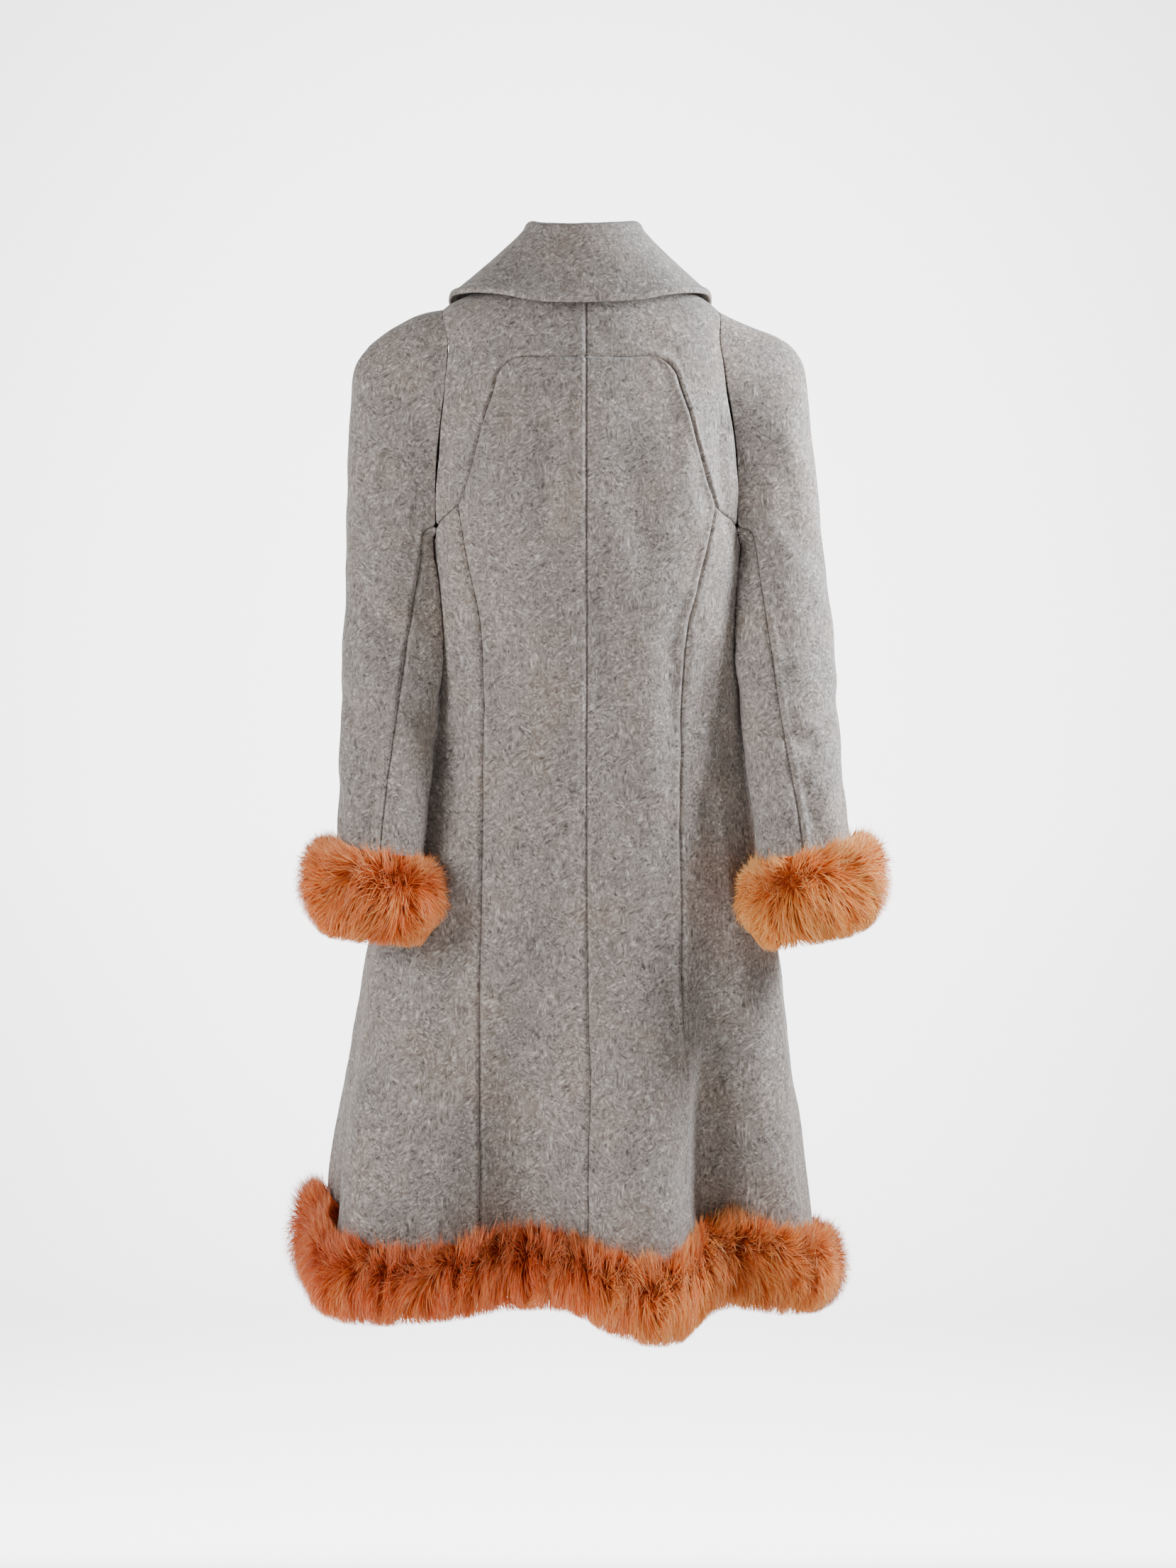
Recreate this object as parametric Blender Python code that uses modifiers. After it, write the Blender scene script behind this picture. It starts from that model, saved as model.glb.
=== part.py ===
"""A fur trimmed wool coat, filled out with no wearer.

Sizes are millimetres, turned to metres where a mesh is made. +Z is up, the front faces -Y and the
wearer's left is +X. The origin is in the middle of the neck, level with the back neck seam.

A place on the coat's body is a turn and a level. The turn is in degrees round the body: 90 at the
centre back, 0 at the side, -90 at the centre front, the same way on each half. The level is the
depth below the origin at the centre back. Left is side 1 and right is side -1.
"""

import math

import bmesh
import bpy
import numpy as np

MM = 0.001
WALL = 2.5
COLLAR_WALL = 3.5
SEAM = 0.4
LEFT, RIGHT = 1, -1
CENTRE_BACK, SIDE, CENTRE_FRONT = 90.0, 0.0, -90.0

# Rings round the body, from the neck to the hem. The sides stand higher than the centre back by
# side_rise, and the centre front hangs lower than it by front_drop.
RINGS = [
    # level, side_rise, front_drop, left, right, back, front, centre_y, squareness
    (4, 18, 68, 74, 67, 60, 64, 0, 2.1),
    (20, 16, 64, 106, 98, 73, 77, 0, 2.1),
    (42, 18, 56, 141, 129, 85, 90, 0, 2.2),
    (82, 16, 40, 154, 149, 96, 105, 0, 2.3),
    (122, 10, 24, 158, 157, 106, 115, 0, 2.35),
    (182, 2, 6, 160, 160, 114, 121, 0, 2.4),
    (245, 0, 0, 158, 157, 114, 122, 0, 2.4),
    (320, 0, 0, 152, 154, 105, 112, -2, 2.4),
    (392, 0, 0, 152, 156, 98, 104, -5, 2.4),
    (450, 0, 0, 156, 159, 101, 111, -10, 2.4),
    (510, 0, 0, 170, 168, 110, 125, -16, 2.4),
    (571, 0, 0, 195, 179, 118, 136, -20, 2.35),
    (674, 0, 0, 225, 198, 124, 144, -25, 2.3),
    (790, 0, 0, 243, 208, 122, 148, -22, 2.3),
    (880, 0, 0, 254, 215, 120, 149, -18, 2.3),
    (975, 0, 0, 261, 224, 118, 150, -15, 2.35),
]
NECK_LEVEL, TIP_LEVEL, HEM_LEVEL = 4.0, 42.0, 975.0

# Folds of the skirt, which grow from their top level to the hem. A ridge has a positive lift. The
# turns here run all the way round, from 0 at the left side by 90 at the back to 180 at the right.
FOLDS = [
    # turn, half_width, lift, top_level
    (40, 24, 32, 650),
    (75, 19, -44, 600),
    (105, 22, 40, 560),
    (125, 16, -52, 600),
    (147, 17, 24, 650),
    (168, 14, -12, 700),
    (196, 19, 22, 650),
    (219, 17, -26, 600),
    (243, 19, 30, 580),
    (300, 19, 27, 600),
    (322, 16, -33, 580),
    (343, 17, 20, 660),
    (12, 14, -9, 700),
]

# The hem isn't level. Round it, it dips by this much, and its fur is this many times as tall and thick.
HEM_ROUND = [
    # turn, dip, tallness, thickness
    (-90, 0, 1.0, 1.0),
    (-60, 0, 1.0, 1.0),
    (0, -11, 1.4, 1.06),
    (36, -4, 1.1, 1.03),
    (57, 2, 0.94, 1.0),
    (75, -9, 1.06, 1.0),
    (88, -8, 0.98, 1.0),
    (97, 1, 1.05, 1.0),
    (105, 6, 1.06, 1.0),
    (121, -6, 1.22, 1.0),
    (132, -14, 1.2, 1.0),
    (142, -8, 1.08, 0.97),
    (153, -4, 1.0, 0.92),
    (180, 20, 1.0, 0.85),
    (240, 0, 1.0, 1.0),
    (270, 0, 1.0, 1.0),
]
DIP_TOP = 560.0

# Seams, as they lie on the back or the front half. Each x is measured from the centre line.
YOKE_SEAM = [
    # station, x, z
    (0, 0, -82),
    (4, 36, -82),
    (8, 68, -83),
    (9, 78, -87),
    (10, 87, -97),
    (11, 91, -112),
    (13, 100, -143),
    (15, 109, -175),
    (17, 117.5, -202),
    (19, 127, -225),
]
BACK_SEAM = [
    # level, left_x, right_x
    (225, 127, 127),
    (252, 122, 121),
    (287, 115, 113),
    (340, 106, 101),
    (393, 103, 96),
    (500, 103, 91),
    (610, 104, 91),
    (735, 106, 93),
    (860, 108, 99),
    (975, 110, 106),
]
FRONT_SEAM = [
    # level, left_x, right_x
    (246, 149, 148),
    (282, 137, 136),
    (320, 126, 124),
    (393, 110, 108),
    (500, 116, 110),
    (610, 126, 117),
    (790, 140, 130),
    (975, 154, 144),
]
# The armhole's edges, from the shoulder tip down to the underarm, as they lie from the side.
ARMHOLE_BACK = [
    # station, y, z
    (0, 0, -24),
    (1, 26, -32),
    (2, 44, -50),
    (3, 53.5, -75),
    (4, 58, -106),
    (6, 55.5, -176),
    (8, 48, -243),
]
ARMHOLE_FRONT = [
    # station, y, z
    (0, 0, -24),
    (1, -24, -33),
    (2, -40, -52),
    (3, -50, -80),
    (4, -56, -112),
    (6, -56, -182),
    (8, -48, -243),
]
UNDERARM_LEVEL = 264.0

NECK_STEPS, SHOULDER_STEPS, ARMHOLE_STEPS, UNDERARM_STEPS = 8, 3, 8, 14
YOKE_ROWS, STRIP_STEPS, FRONT_STEPS = 5, 2, 12
SKIRT_LEVELS = [282, 322, 362, 402, 448, 500, 556, 618, 686, 756, 826, 888, 942, HEM_LEVEL]
FUR_TOP_LEVEL = 942.0

# The right front lies over the left one, as far past the centre line as the left one runs under it.
OVERLAP = 25.0
UNDER_DROP = 3.6
UNDER_FADE = (64.0, 34.0)


def smooth_rows(table, at):
    """The other columns of a table, read on a smooth curve at these values of its first column."""
    rows = np.array(table, float)
    keys, values = rows[:, 0], rows[:, 1:]
    slopes = np.gradient(values, keys, axis=0)
    at = np.clip(np.asarray(at, float), keys[0], keys[-1])
    low = np.clip(np.searchsorted(keys, at, side="right") - 1, 0, len(keys) - 2)
    span = (keys[low + 1] - keys[low])[..., None]
    t = (at - keys[low])[..., None] / span
    start = (2 * t**3 - 3 * t**2 + 1) * values[low] + (t**3 - 2 * t**2 + t) * span * slopes[low]
    end = (3 * t**2 - 2 * t**3) * values[low + 1] + (t**3 - t**2) * span * slopes[low + 1]
    return start + end


def unit(vectors):
    return vectors / np.linalg.norm(vectors, axis=-1, keepdims=True)


def ease(share):
    share = np.clip(share, 0, 1)
    return share * share * (3 - 2 * share)


def round_turn(turn, side):
    """The turn all the way round the body, of a turn on the left or the right half."""
    return turn if side == LEFT else 180.0 - turn


def ring(turn, level):
    """The body before its folds, and the level direction straight out of it."""
    rows = np.moveaxis(smooth_rows(RINGS, level), -1, 0)
    side_rise, front_drop, left, right, back, front, centre_y, squareness = rows
    across, along = np.cos(np.radians(turn)), np.sin(np.radians(turn))
    width = np.where(across > 0, left, right)
    depth = np.where(along > 0, back, front)
    reach = (np.abs(across) ** squareness + np.abs(along) ** squareness) ** (-1 / squareness)
    across, along = across * reach, along * reach
    fall = np.where(along > 0, side_rise, side_rise + front_drop) * np.sin(np.radians(turn)) ** 2
    points = np.stack([width * across, centre_y + depth * along, side_rise - level - fall], -1)
    steep = squareness - 1
    out_x = np.sign(across) * np.abs(across) ** steep / width
    out_y = np.sign(along) * np.abs(along) ** steep / depth
    return points, unit(np.stack([out_x, out_y, 0 * out_x], -1))


def fold_lift(turn, level):
    """How far the skirt's folds stand out of the ring: a sum of round ridges and troughs."""
    lift = np.zeros(np.broadcast(turn, level).shape)
    for centre, half_width, rise, top in FOLDS:
        away = (np.asarray(turn) - centre + 180) % 360 - 180
        grown = ease((np.asarray(level) - top) / (HEM_LEVEL - top))
        lift += rise * grown * (0.5 + 0.5 * np.cos(np.pi * np.clip(away / half_width, -1, 1)))
    return lift


def hem_dip(turn, level):
    """How far the skirt dips below its level, growing from its top to the hem."""
    grown = ease((np.asarray(level) - DIP_TOP) / (HEM_LEVEL - DIP_TOP))
    return smooth_rows(HEM_ROUND, turn)[..., 0] * grown


def body(turn, level):
    """The outer face of the coat's body."""
    turn, level = np.broadcast_arrays(np.asarray(turn, float), np.asarray(level, float))
    points, out = ring(turn, level)
    points[..., 2] -= hem_dip(turn, level)
    return points + out * fold_lift(turn, level)[..., None]


def body_normal(turn, level):
    turn, level = np.asarray(turn, float), np.asarray(level, float)
    round_it = body(turn + 1, level) - body(turn - 1, level)
    up = body(turn, level - 2) - body(turn, level + 2)
    return unit(np.cross(round_it, up))


def turn_of(share, squareness):
    """The turn where a ring reaches this share of its half width."""
    share = np.clip(share, 0.001, 0.999)
    return np.degrees(np.arctan((share**-squareness - 1) ** (1 / squareness)))


def turn_at(x, level, side, back):
    """The turn on a half where its ring is this far from the centre line."""
    rows = smooth_rows(RINGS, level)
    turn = turn_of(x / rows[..., 2 if side == LEFT else 3], rows[..., 7])
    return turn if back else -turn


def turn_at_depth(y, level):
    """The turn where the ring is this far behind the shoulder seam, or before it."""
    rows = smooth_rows(RINGS, level)
    depth = np.where(y > 0, rows[..., 4], rows[..., 5])
    share = np.abs(y - rows[..., 6]) / depth
    return np.where(y > 0, 1, -1) * (90 - turn_of(share, rows[..., 7]))


def on_upper_body(find_turn, z, side):
    """The turn and level of points at this height on the upper body, whose rings aren't level."""
    level = -np.asarray(z, float)
    for _ in range(12):
        turn = find_turn(level)
        points, _ = ring(round_turn(turn, side), level)
        level = level + points[..., 2] - z
    return np.stack([turn, level], -1)


def level_line(table, levels, side, back):
    """A seam of the lower body at these levels, as turns and levels."""
    x = smooth_rows(table, levels)[..., 0 if side == LEFT else 1]
    return np.stack([turn_at(x, levels, side, back), levels], -1)


def straight(start, end, steps):
    return np.linspace(start, end, steps + 1)


def chain(*lines):
    """Lines that follow each other, joined at their shared ends."""
    return np.concatenate([lines[0]] + [line[1:] for line in lines[1:]])


def fill(top, bottom, first, last):
    """Turns and levels between four edges: the top and bottom run from the first to the last."""
    u = np.linspace(0, 1, len(top))[None, :, None]
    v = np.linspace(0, 1, len(first))[:, None, None]
    between = (1 - v) * top[None] + v * bottom[None] + (1 - u) * first[:, None] + u * last[:, None]
    corners = (1 - v) * ((1 - u) * top[0] + u * top[-1])
    return between - corners - v * ((1 - u) * bottom[0] + u * bottom[-1])


def shoulder_line():
    """The shoulder seam, from the neck out to the tip."""
    levels = np.linspace(NECK_LEVEL, TIP_LEVEL, SHOULDER_STEPS + 1)
    return np.stack([np.full_like(levels, SIDE), levels], -1)


def armhole_line(table, side):
    """One edge of the armhole, from the shoulder tip down to the underarm."""
    y, z = np.moveaxis(smooth_rows(table, np.arange(ARMHOLE_STEPS + 1)), -1, 0)
    line = on_upper_body(lambda level: turn_at_depth(y, level), z, side)
    line[0] = SIDE, TIP_LEVEL
    return line


def underarm_line(start, end):
    """The armhole's lower edge, half an ellipse from its back edge to its front one."""
    t = np.linspace(0, 1, UNDERARM_STEPS + 1)
    share = 0.5 - 0.5 * np.cos(np.pi * t)
    line = start + (end - start) * share[:, None]
    line[:, 1] += (UNDERARM_LEVEL - (start[1] + end[1]) / 2) * np.sin(np.pi * t)
    return line


def yoke_line(side):
    """The seam under the yoke, from the centre back to the end of its strip under the arm."""
    x, z = np.moveaxis(smooth_rows(YOKE_SEAM, np.arange(YOKE_SEAM[-1][0] + 1)), -1, 0)
    line = on_upper_body(lambda level: turn_at(x, level, side, True), z, side)
    line[0] = CENTRE_BACK, -YOKE_SEAM[0][2]
    return line


def body_lines(side):
    """The seams that meet at the panels, as turns and levels."""
    yoke = yoke_line(side)
    armhole_back = armhole_line(ARMHOLE_BACK, side)
    armhole_front = armhole_line(ARMHOLE_FRONT, side)
    levels = np.array(SKIRT_LEVELS, float)
    back_seam = np.concatenate([yoke[-1:], level_line(BACK_SEAM, levels, side, True)])
    front_seam = np.concatenate([armhole_front[-1:], level_line(FRONT_SEAM, levels, side, False)])
    return {
        "yoke": yoke,
        "armhole_back": armhole_back,
        "armhole_front": armhole_front,
        "strip_end": straight(yoke[-1], armhole_back[-1], STRIP_STEPS),
        "underarm": underarm_line(armhole_back[-1], armhole_front[-1]),
        "back_seam": back_seam,
        "front_seam": front_seam,
    }


def front_edge(levels, side):
    """The free edge of a front, past the centre line by the overlap, as turns and levels."""
    beyond = turn_at(OVERLAP, levels, -side, False)
    return np.stack([-180 - beyond, levels], -1)


def yoke_grid(side, lines):
    """The yoke, filled in as it is seen from behind, since its rungs fan out over the shoulder."""
    neck = np.stack([np.linspace(CENTRE_BACK, SIDE, NECK_STEPS + 1),
                     np.full(NECK_STEPS + 1, NECK_LEVEL)], -1)
    upper = chain(neck, shoulder_line(), lines["armhole_back"])
    grid = fill(upper, lines["yoke"], straight(neck[0], lines["yoke"][0], YOKE_ROWS),
                straight(upper[-1], lines["yoke"][-1], YOKE_ROWS))
    seen = body(round_turn(grid[..., 0], side), grid[..., 1])[..., [0, 2]] * [side, 1]
    seen = fill(seen[0], seen[-1], seen[:, 0], seen[:, -1])[1:-1, 1:-1]
    x, z = seen[..., 0], seen[..., 1]
    grid[1:-1, 1:-1] = on_upper_body(lambda level: turn_at(x, level, side, True), z, side)
    return grid


def back_grid(side, lines):
    seam = chain(lines["yoke"][NECK_STEPS:], lines["back_seam"])
    top = lines["yoke"][: NECK_STEPS + 1]
    centre = np.stack([np.full(len(seam), CENTRE_BACK), seam[:, 1]], -1)
    centre[0] = top[0]
    return fill(top, straight(centre[-1], seam[-1], NECK_STEPS), centre, seam)


def side_grid(side, lines):
    top = chain(lines["strip_end"], lines["underarm"])
    hem = straight(lines["back_seam"][-1], lines["front_seam"][-1], len(top) - 1)
    return fill(top, hem, lines["back_seam"], lines["front_seam"])


def front_grid(side, lines):
    seam = chain(shoulder_line(), lines["armhole_front"], lines["front_seam"])
    edge = front_edge(seam[:, 1], side)
    return fill(straight(seam[0], edge[0], FRONT_STEPS),
                straight(seam[-1], edge[-1], FRONT_STEPS), seam, edge)


def under_drop(points):
    """How far the left front sinks behind the right one, by its distance from the centre line."""
    start, end = UNDER_FADE
    return UNDER_DROP * ease((start - points[..., 0]) / (start - end))


def body_face(grid, side, under=False):
    """The outer points of a panel and their normals."""
    turn = round_turn(grid[..., 0], side)
    points, normals = body(turn, grid[..., 1]), body_normal(turn, grid[..., 1])
    if under:
        points = points - normals * under_drop(points)[..., None]
    return points, normals


def draw_in(points, gap=SEAM / 2):
    """A grid of points with each edge drawn in, to leave the gap of a seam."""
    points = points.copy()
    for axis in (0, 1):
        rows = np.moveaxis(points, axis, 0)
        first = unit(rows[1] - rows[0]) * gap
        last = unit(rows[-2] - rows[-1]) * gap
        rows[0] += first
        rows[-1] += last
    return points


def two_triangles(a, b, c, d):
    """A quad split between its first and third corners, so that facing quads split alike."""
    return [(a, b, c), (a, c, d)]


def grid_faces(rows, columns, start):
    faces = []
    for r in range(rows - 1):
        for c in range(columns - 1):
            a = start + r * columns + c
            faces += two_triangles(a, a + 1, a + columns + 1, a + columns)
    return faces


def wall_mesh(outer, inner):
    """A closed wall between two grids of points, with a face along each edge."""
    rows, columns = outer.shape[:2]
    inside = rows * columns
    last_row, last_column = (rows - 1) * columns, columns - 1
    edges = [(start + c, start + c + 1) for start in (0, last_row) for c in range(columns - 1)]
    edges += [(start + r * columns, start + (r + 1) * columns)
              for start in (0, last_column) for r in range(rows - 1)]
    faces = grid_faces(rows, columns, 0) + grid_faces(rows, columns, inside)
    for a, b in edges:
        faces += two_triangles(a, b, b + inside, a + inside)
    return np.concatenate([outer.reshape(-1, 3), inner.reshape(-1, 3)]), faces


def roll_mesh(sections, closed):
    """A closed roll through section loops, which either meets itself or has an end face each end."""
    count, size = sections.shape[:2]
    faces = []
    for s in range(count if closed else count - 1):
        here, after = s * size, (s + 1) % count * size
        for p in range(size):
            q = (p + 1) % size
            faces += two_triangles(here + q, after + q, after + p, here + p)
    if not closed:
        faces += [tuple(range(size)), tuple((count - 1) * size + p for p in range(size))]
    return sections.reshape(-1, 3), faces


def add_piece(name, points, faces, material, collection):
    mesh = bpy.data.meshes.new(name)
    mesh.from_pydata((points * MM).tolist(), [], faces)
    mesh_work = bmesh.new()
    mesh_work.from_mesh(mesh)
    bmesh.ops.recalc_face_normals(mesh_work, faces=mesh_work.faces)
    mesh_work.to_mesh(mesh)
    mesh_work.free()
    mesh.shade_smooth()
    mesh.set_sharp_from_angle(angle=math.radians(50))
    mesh.materials.append(material)
    piece = bpy.data.objects.new(name, mesh)
    collection.objects.link(piece)
    return piece


def new_material(name, colour, roughness):
    material = bpy.data.materials.new(name)
    material.use_nodes = True
    shader = material.node_tree.nodes["Principled BSDF"]
    shader.inputs["Base Color"].default_value = (*colour, 1)
    shader.inputs["Roughness"].default_value = roughness
    shader.inputs["Metallic"].default_value = 0
    material.diffuse_color = (*colour, 1)
    return material


def body_panels(collection, wool):
    """The yokes, backs, side panels and fronts, each a wall on its own part of the body."""
    for side, hand in ((LEFT, "left"), (RIGHT, "right")):
        lines = body_lines(side)
        grids = {
            "back_yoke": yoke_grid(side, lines),
            "back": back_grid(side, lines),
            "side": side_grid(side, lines),
            "front": front_grid(side, lines),
        }
        for piece, grid in grids.items():
            under = piece == "front" and side == LEFT
            points, normals = body_face(grid, side, under)
            outer = draw_in(points)[:, ::side]
            mesh = wall_mesh(outer, outer - normals[:, ::side] * WALL)
            add_piece(f"{piece}_{hand}", *mesh, wool, collection)


# The sleeves. A crown carries each point of the armhole out and then down to the first ring of the
# tube. Rings tip up on their outer side towards the wrist. The seam turns are measured round the
# sleeve from its outer side by the back.
CROWN = [
    # step, left_out, right_out, left_down, right_down
    (0, 0, 0, 0, 0),
    (1, 0.19, 0.16, 0.012, 0.034),
    (2, 0.42, 0.36, 0.052, 0.073),
    (3, 0.64, 0.56, 0.098, 0.112),
    (4, 0.82, 0.72, 0.16, 0.168),
    (5, 0.94, 0.83, 0.27, 0.27),
    (6, 1.0, 0.91, 0.60, 0.56),
    (7, 1.0, 1.0, 1.0, 1.0),
]
SLEEVE_RINGS = [
    # depth, left_x, left_half, right_x, right_half, centre_y, half_depth, left_tip, right_tip
    (275, 190, 49.5, 191.5, 45, 8, 52, 0, 0),
    (350, 194.5, 49.5, 196.5, 48, 20, 48.5, 1, 2),
    (428, 198, 47, 201, 48.5, 36, 45.5, 3, 4),
    (535, 202.5, 44.5, 212, 45.5, 64, 41.5, 5, 9),
    (636, 206, 44, 219, 46, 84, 40, 7, 12),
    (680, 207, 44, 222, 46, 92, 40, 7, 12),
]
SLEEVE_SEAMS = [
    # depth, back_seam, front_seam
    (275, 123, 234),
    (350, 112, 236),
    (428, 104, 238),
    (636, 90, 240),
]
SLEEVE_DEPTHS = [275, 325, 382, 440, 496, 552, 594, 636]
CUFF_TOP, SLEEVE_END = 552.0, 636.0
ARM_CLEARANCE = [
    # depth, clearance
    (275, 1.8),
    (390, 2.5),
    (485, 2.5),
    (552, 8.0),
    (680, 8.0),
]
SLEEVE_START_IN, SLEEVE_START_OUT = 0.5, 0.4
CLEARING_STARTS = (228.0, 245.0)
CROWN_CLEARANCE = 0.7


def clear_of_body(points, clearance):
    """Points moved straight away from the body's axis where they would come too near its side.

    It comes in smoothly just above the underarm, since a sleeve's crown starts on the body itself.
    """
    high, low = CLEARING_STARTS
    level = np.maximum(-points[..., 2], low)
    rows = np.moveaxis(smooth_rows(RINGS, level), -1, 0)
    _, _, left, right, back, front, centre_y, squareness = rows
    x, y = points[..., 0], points[..., 1] - centre_y
    width = np.where(x > 0, left, right) + clearance
    depth = np.where(y > 0, back, front) + clearance
    reach = (np.abs(x / width) ** squareness + np.abs(y / depth) ** squareness) ** (1 / squareness)
    grow = 1 + (1 / np.minimum(reach, 1) - 1) * ease((-points[..., 2] - high) / (low - high))
    return np.stack([x * grow, centre_y + y * grow, points[..., 2]], -1)


def seam_turns(depth):
    """The turns of the 31 lines that run down a sleeve at this depth, from its top by the back."""
    back, front = smooth_rows(SLEEVE_SEAMS, min(max(depth, 275), SLEEVE_END))
    return chain(np.linspace(0, back, ARMHOLE_STEPS + 1),
                 np.linspace(back, front, UNDERARM_STEPS + 1),
                 np.linspace(front, 360, ARMHOLE_STEPS + 1))


def sleeve_ring(depth, side, out=0.0, lean=0.0, rise=0.0):
    """One ring of a sleeve's tube, moved out of its surface by this much.

    The lean makes it stand out more on the sleeve's outer side and less on its inner side, where
    the rise brings it higher.
    """
    row = smooth_rows(SLEEVE_RINGS, depth)
    centre_x, half = (row[0], row[1]) if side == LEFT else (row[2], row[3])
    centre_y, half_depth = row[4], row[5]
    slope = math.tan(math.radians(row[6] if side == LEFT else row[7]))
    turn = np.radians(seam_turns(depth))
    stand = out * (1 + lean * np.cos(turn))
    x, y = (half + stand) * np.cos(turn), (half_depth + stand) * np.sin(turn)
    high = rise * (0.5 - 0.5 * np.cos(turn)) ** 2
    return np.stack([side * (centre_x + x), centre_y + y, x * slope - depth + high], -1)


def armhole_loop(side):
    """The armhole from the shoulder tip by the back and underarm, as points and normals."""
    lines = body_lines(side)
    loop = chain(lines["armhole_back"], lines["underarm"], lines["armhole_front"][::-1])
    turn = round_turn(loop[:, 0], side)
    return body(turn, loop[:, 1]), body_normal(turn, loop[:, 1])


def sleeve_start(side):
    """The sleeve's first ring: just inside the armhole's edge and just outside the body's face."""
    edge, normals = armhole_loop(side)
    loop = edge[:-1]
    along = np.roll(loop, -1, axis=0) - np.roll(loop, 1, axis=0)
    inward = side * unit(np.cross(normals, np.concatenate([along, along[:1]])))
    return edge - inward * SLEEVE_START_IN + normals * SLEEVE_START_OUT


def sleeve_points(side):
    """The outer points of a whole sleeve: rows down it, columns round it."""
    start = sleeve_start(side)
    tube = []
    for depth in SLEEVE_DEPTHS:
        clearance = smooth_rows(ARM_CLEARANCE, depth)[0]
        tube.append(clear_of_body(sleeve_ring(depth, side), clearance))
    crown = [start]
    for step, left_out, right_out, left_down, right_down in CROWN[1:-1]:
        out, down = (left_out, left_down) if side == LEFT else (right_out, right_down)
        clearance = CROWN_CLEARANCE + (ARM_CLEARANCE[0][1] - CROWN_CLEARANCE) * step / CROWN[-1][0]
        points = start + (tube[0] - start) * np.array([out, out, down])
        crown.append(clear_of_body(points, clearance))
    return np.array(crown + tube)


def tube_normals(points):
    """Normals of a tube whose last column repeats its first, by the lines through each point."""
    around = np.roll(points[:, :-1], -1, axis=1) - np.roll(points[:, :-1], 1, axis=1)
    around = np.concatenate([around, around[:, :1]], axis=1)
    along = np.gradient(points, axis=0)
    normals = unit(np.cross(along, around))
    middle = points[:, :-1].mean(axis=1, keepdims=True)
    outward = np.sign(np.sum(normals * (points - middle), axis=(0, 1)).sum())
    return normals * outward


def sleeves(collection, wool):
    """Each sleeve's top and under pieces, which meet at its back and front seams."""
    under_first, under_last = ARMHOLE_STEPS, ARMHOLE_STEPS + UNDERARM_STEPS
    for side, hand in ((LEFT, "left"), (RIGHT, "right")):
        points = sleeve_points(side)
        normals = tube_normals(points)
        columns = len(points[0]) - 1
        under = list(range(under_first, under_last + 1))
        top = list(range(under_last, columns)) + list(range(under_first + 1))
        for piece, chosen in (("under", under), ("top", top)):
            outer = draw_in(points[:, chosen])
            mesh = wall_mesh(outer, outer - normals[:, chosen] * WALL)
            add_piece(f"sleeve_{piece}_{hand}", *mesh, wool, collection)


# The fur, as rolls whose sections are seated on the cloth's own points.
CUFF_SECTION = [
    # down, out
    (3, 15),
    (18, 27),
    (42, 31),
    (64, 30),
    (80, 23),
    (91, 11),
    (93, -3),
    (89, -8),
    (85.2, -6),
]
CUFF_LEAN = 0.14
CUFF_TAPER, CUFF_MIDDLE, TAPERED_OUT = 0.3, 46.0, 12.0
HEM_SECTION = [
    # below_hem, out
    (-31, 18),
    (-20, 31),
    (1, 40),
    (21, 38),
    (37, 27),
    (48, 9),
    (43, -6),
    (19, -10),
    (2.4, -7),
]
SEAT = 0.6
CUFF_CLEARANCE = 1.6
VALLEY_FILL = 0.5
FUR_END_GAP, HEM_GAP = 0.4, 1.2
LAPPED_STEPS = 3


def cuff_rise(down, out):
    """How much higher a row of a cuff's fur lies on the inner side, where the fur is less tall."""
    return CUFF_TAPER * (down - CUFF_MIDDLE) * min(max(out / TAPERED_OUT, 0), 1)


def fur_cuffs(collection, fur):
    """A fur roll round the end of each sleeve, pressed flat where it meets the skirt."""
    seat_rows = [SLEEVE_DEPTHS.index(depth) for depth in (636, 594, 552)]
    for side, hand in ((LEFT, "left"), (RIGHT, "right")):
        points = sleeve_points(side)
        normals = tube_normals(points)
        tube = len(CROWN) - 1
        seat = [(points + normals * SEAT)[tube + row] for row in seat_rows]
        pile = []
        for down, out in CUFF_SECTION:
            loop = sleeve_ring(CUFF_TOP + down, side, out, CUFF_LEAN, cuff_rise(down, out))
            pile.append(clear_of_body(loop, CUFF_CLEARANCE))
        below_end = seat[0] - [0, 0, SEAT]
        sections = np.stack(pile + [below_end] + seat[1:], axis=1)[:-1]
        add_piece(f"fur_cuff_{hand}", *roll_mesh(sections, True), fur, collection)


def hem_turns(row, level):
    """The turns of one of the panels' lowest rows, all round from the right front's edge.

    They go by the back and stop on the left front, where they meet the same edge again.
    """
    halves = {}
    for side in (LEFT, RIGHT):
        lines = body_lines(side)
        halves[side] = chain(back_grid(side, lines)[row, :, 0], side_grid(side, lines)[row, :, 0],
                             front_grid(side, lines)[row, :, 0])
    right, left = halves[RIGHT][::-1], halves[LEFT]
    right[0] += FUR_END_GAP
    left = left[:-LAPPED_STEPS]
    left[-1] = turn_at(OVERLAP, level, LEFT, False) + FUR_END_GAP
    return np.concatenate([round_turn(right, RIGHT), round_turn(left, LEFT)[1:]])


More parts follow.
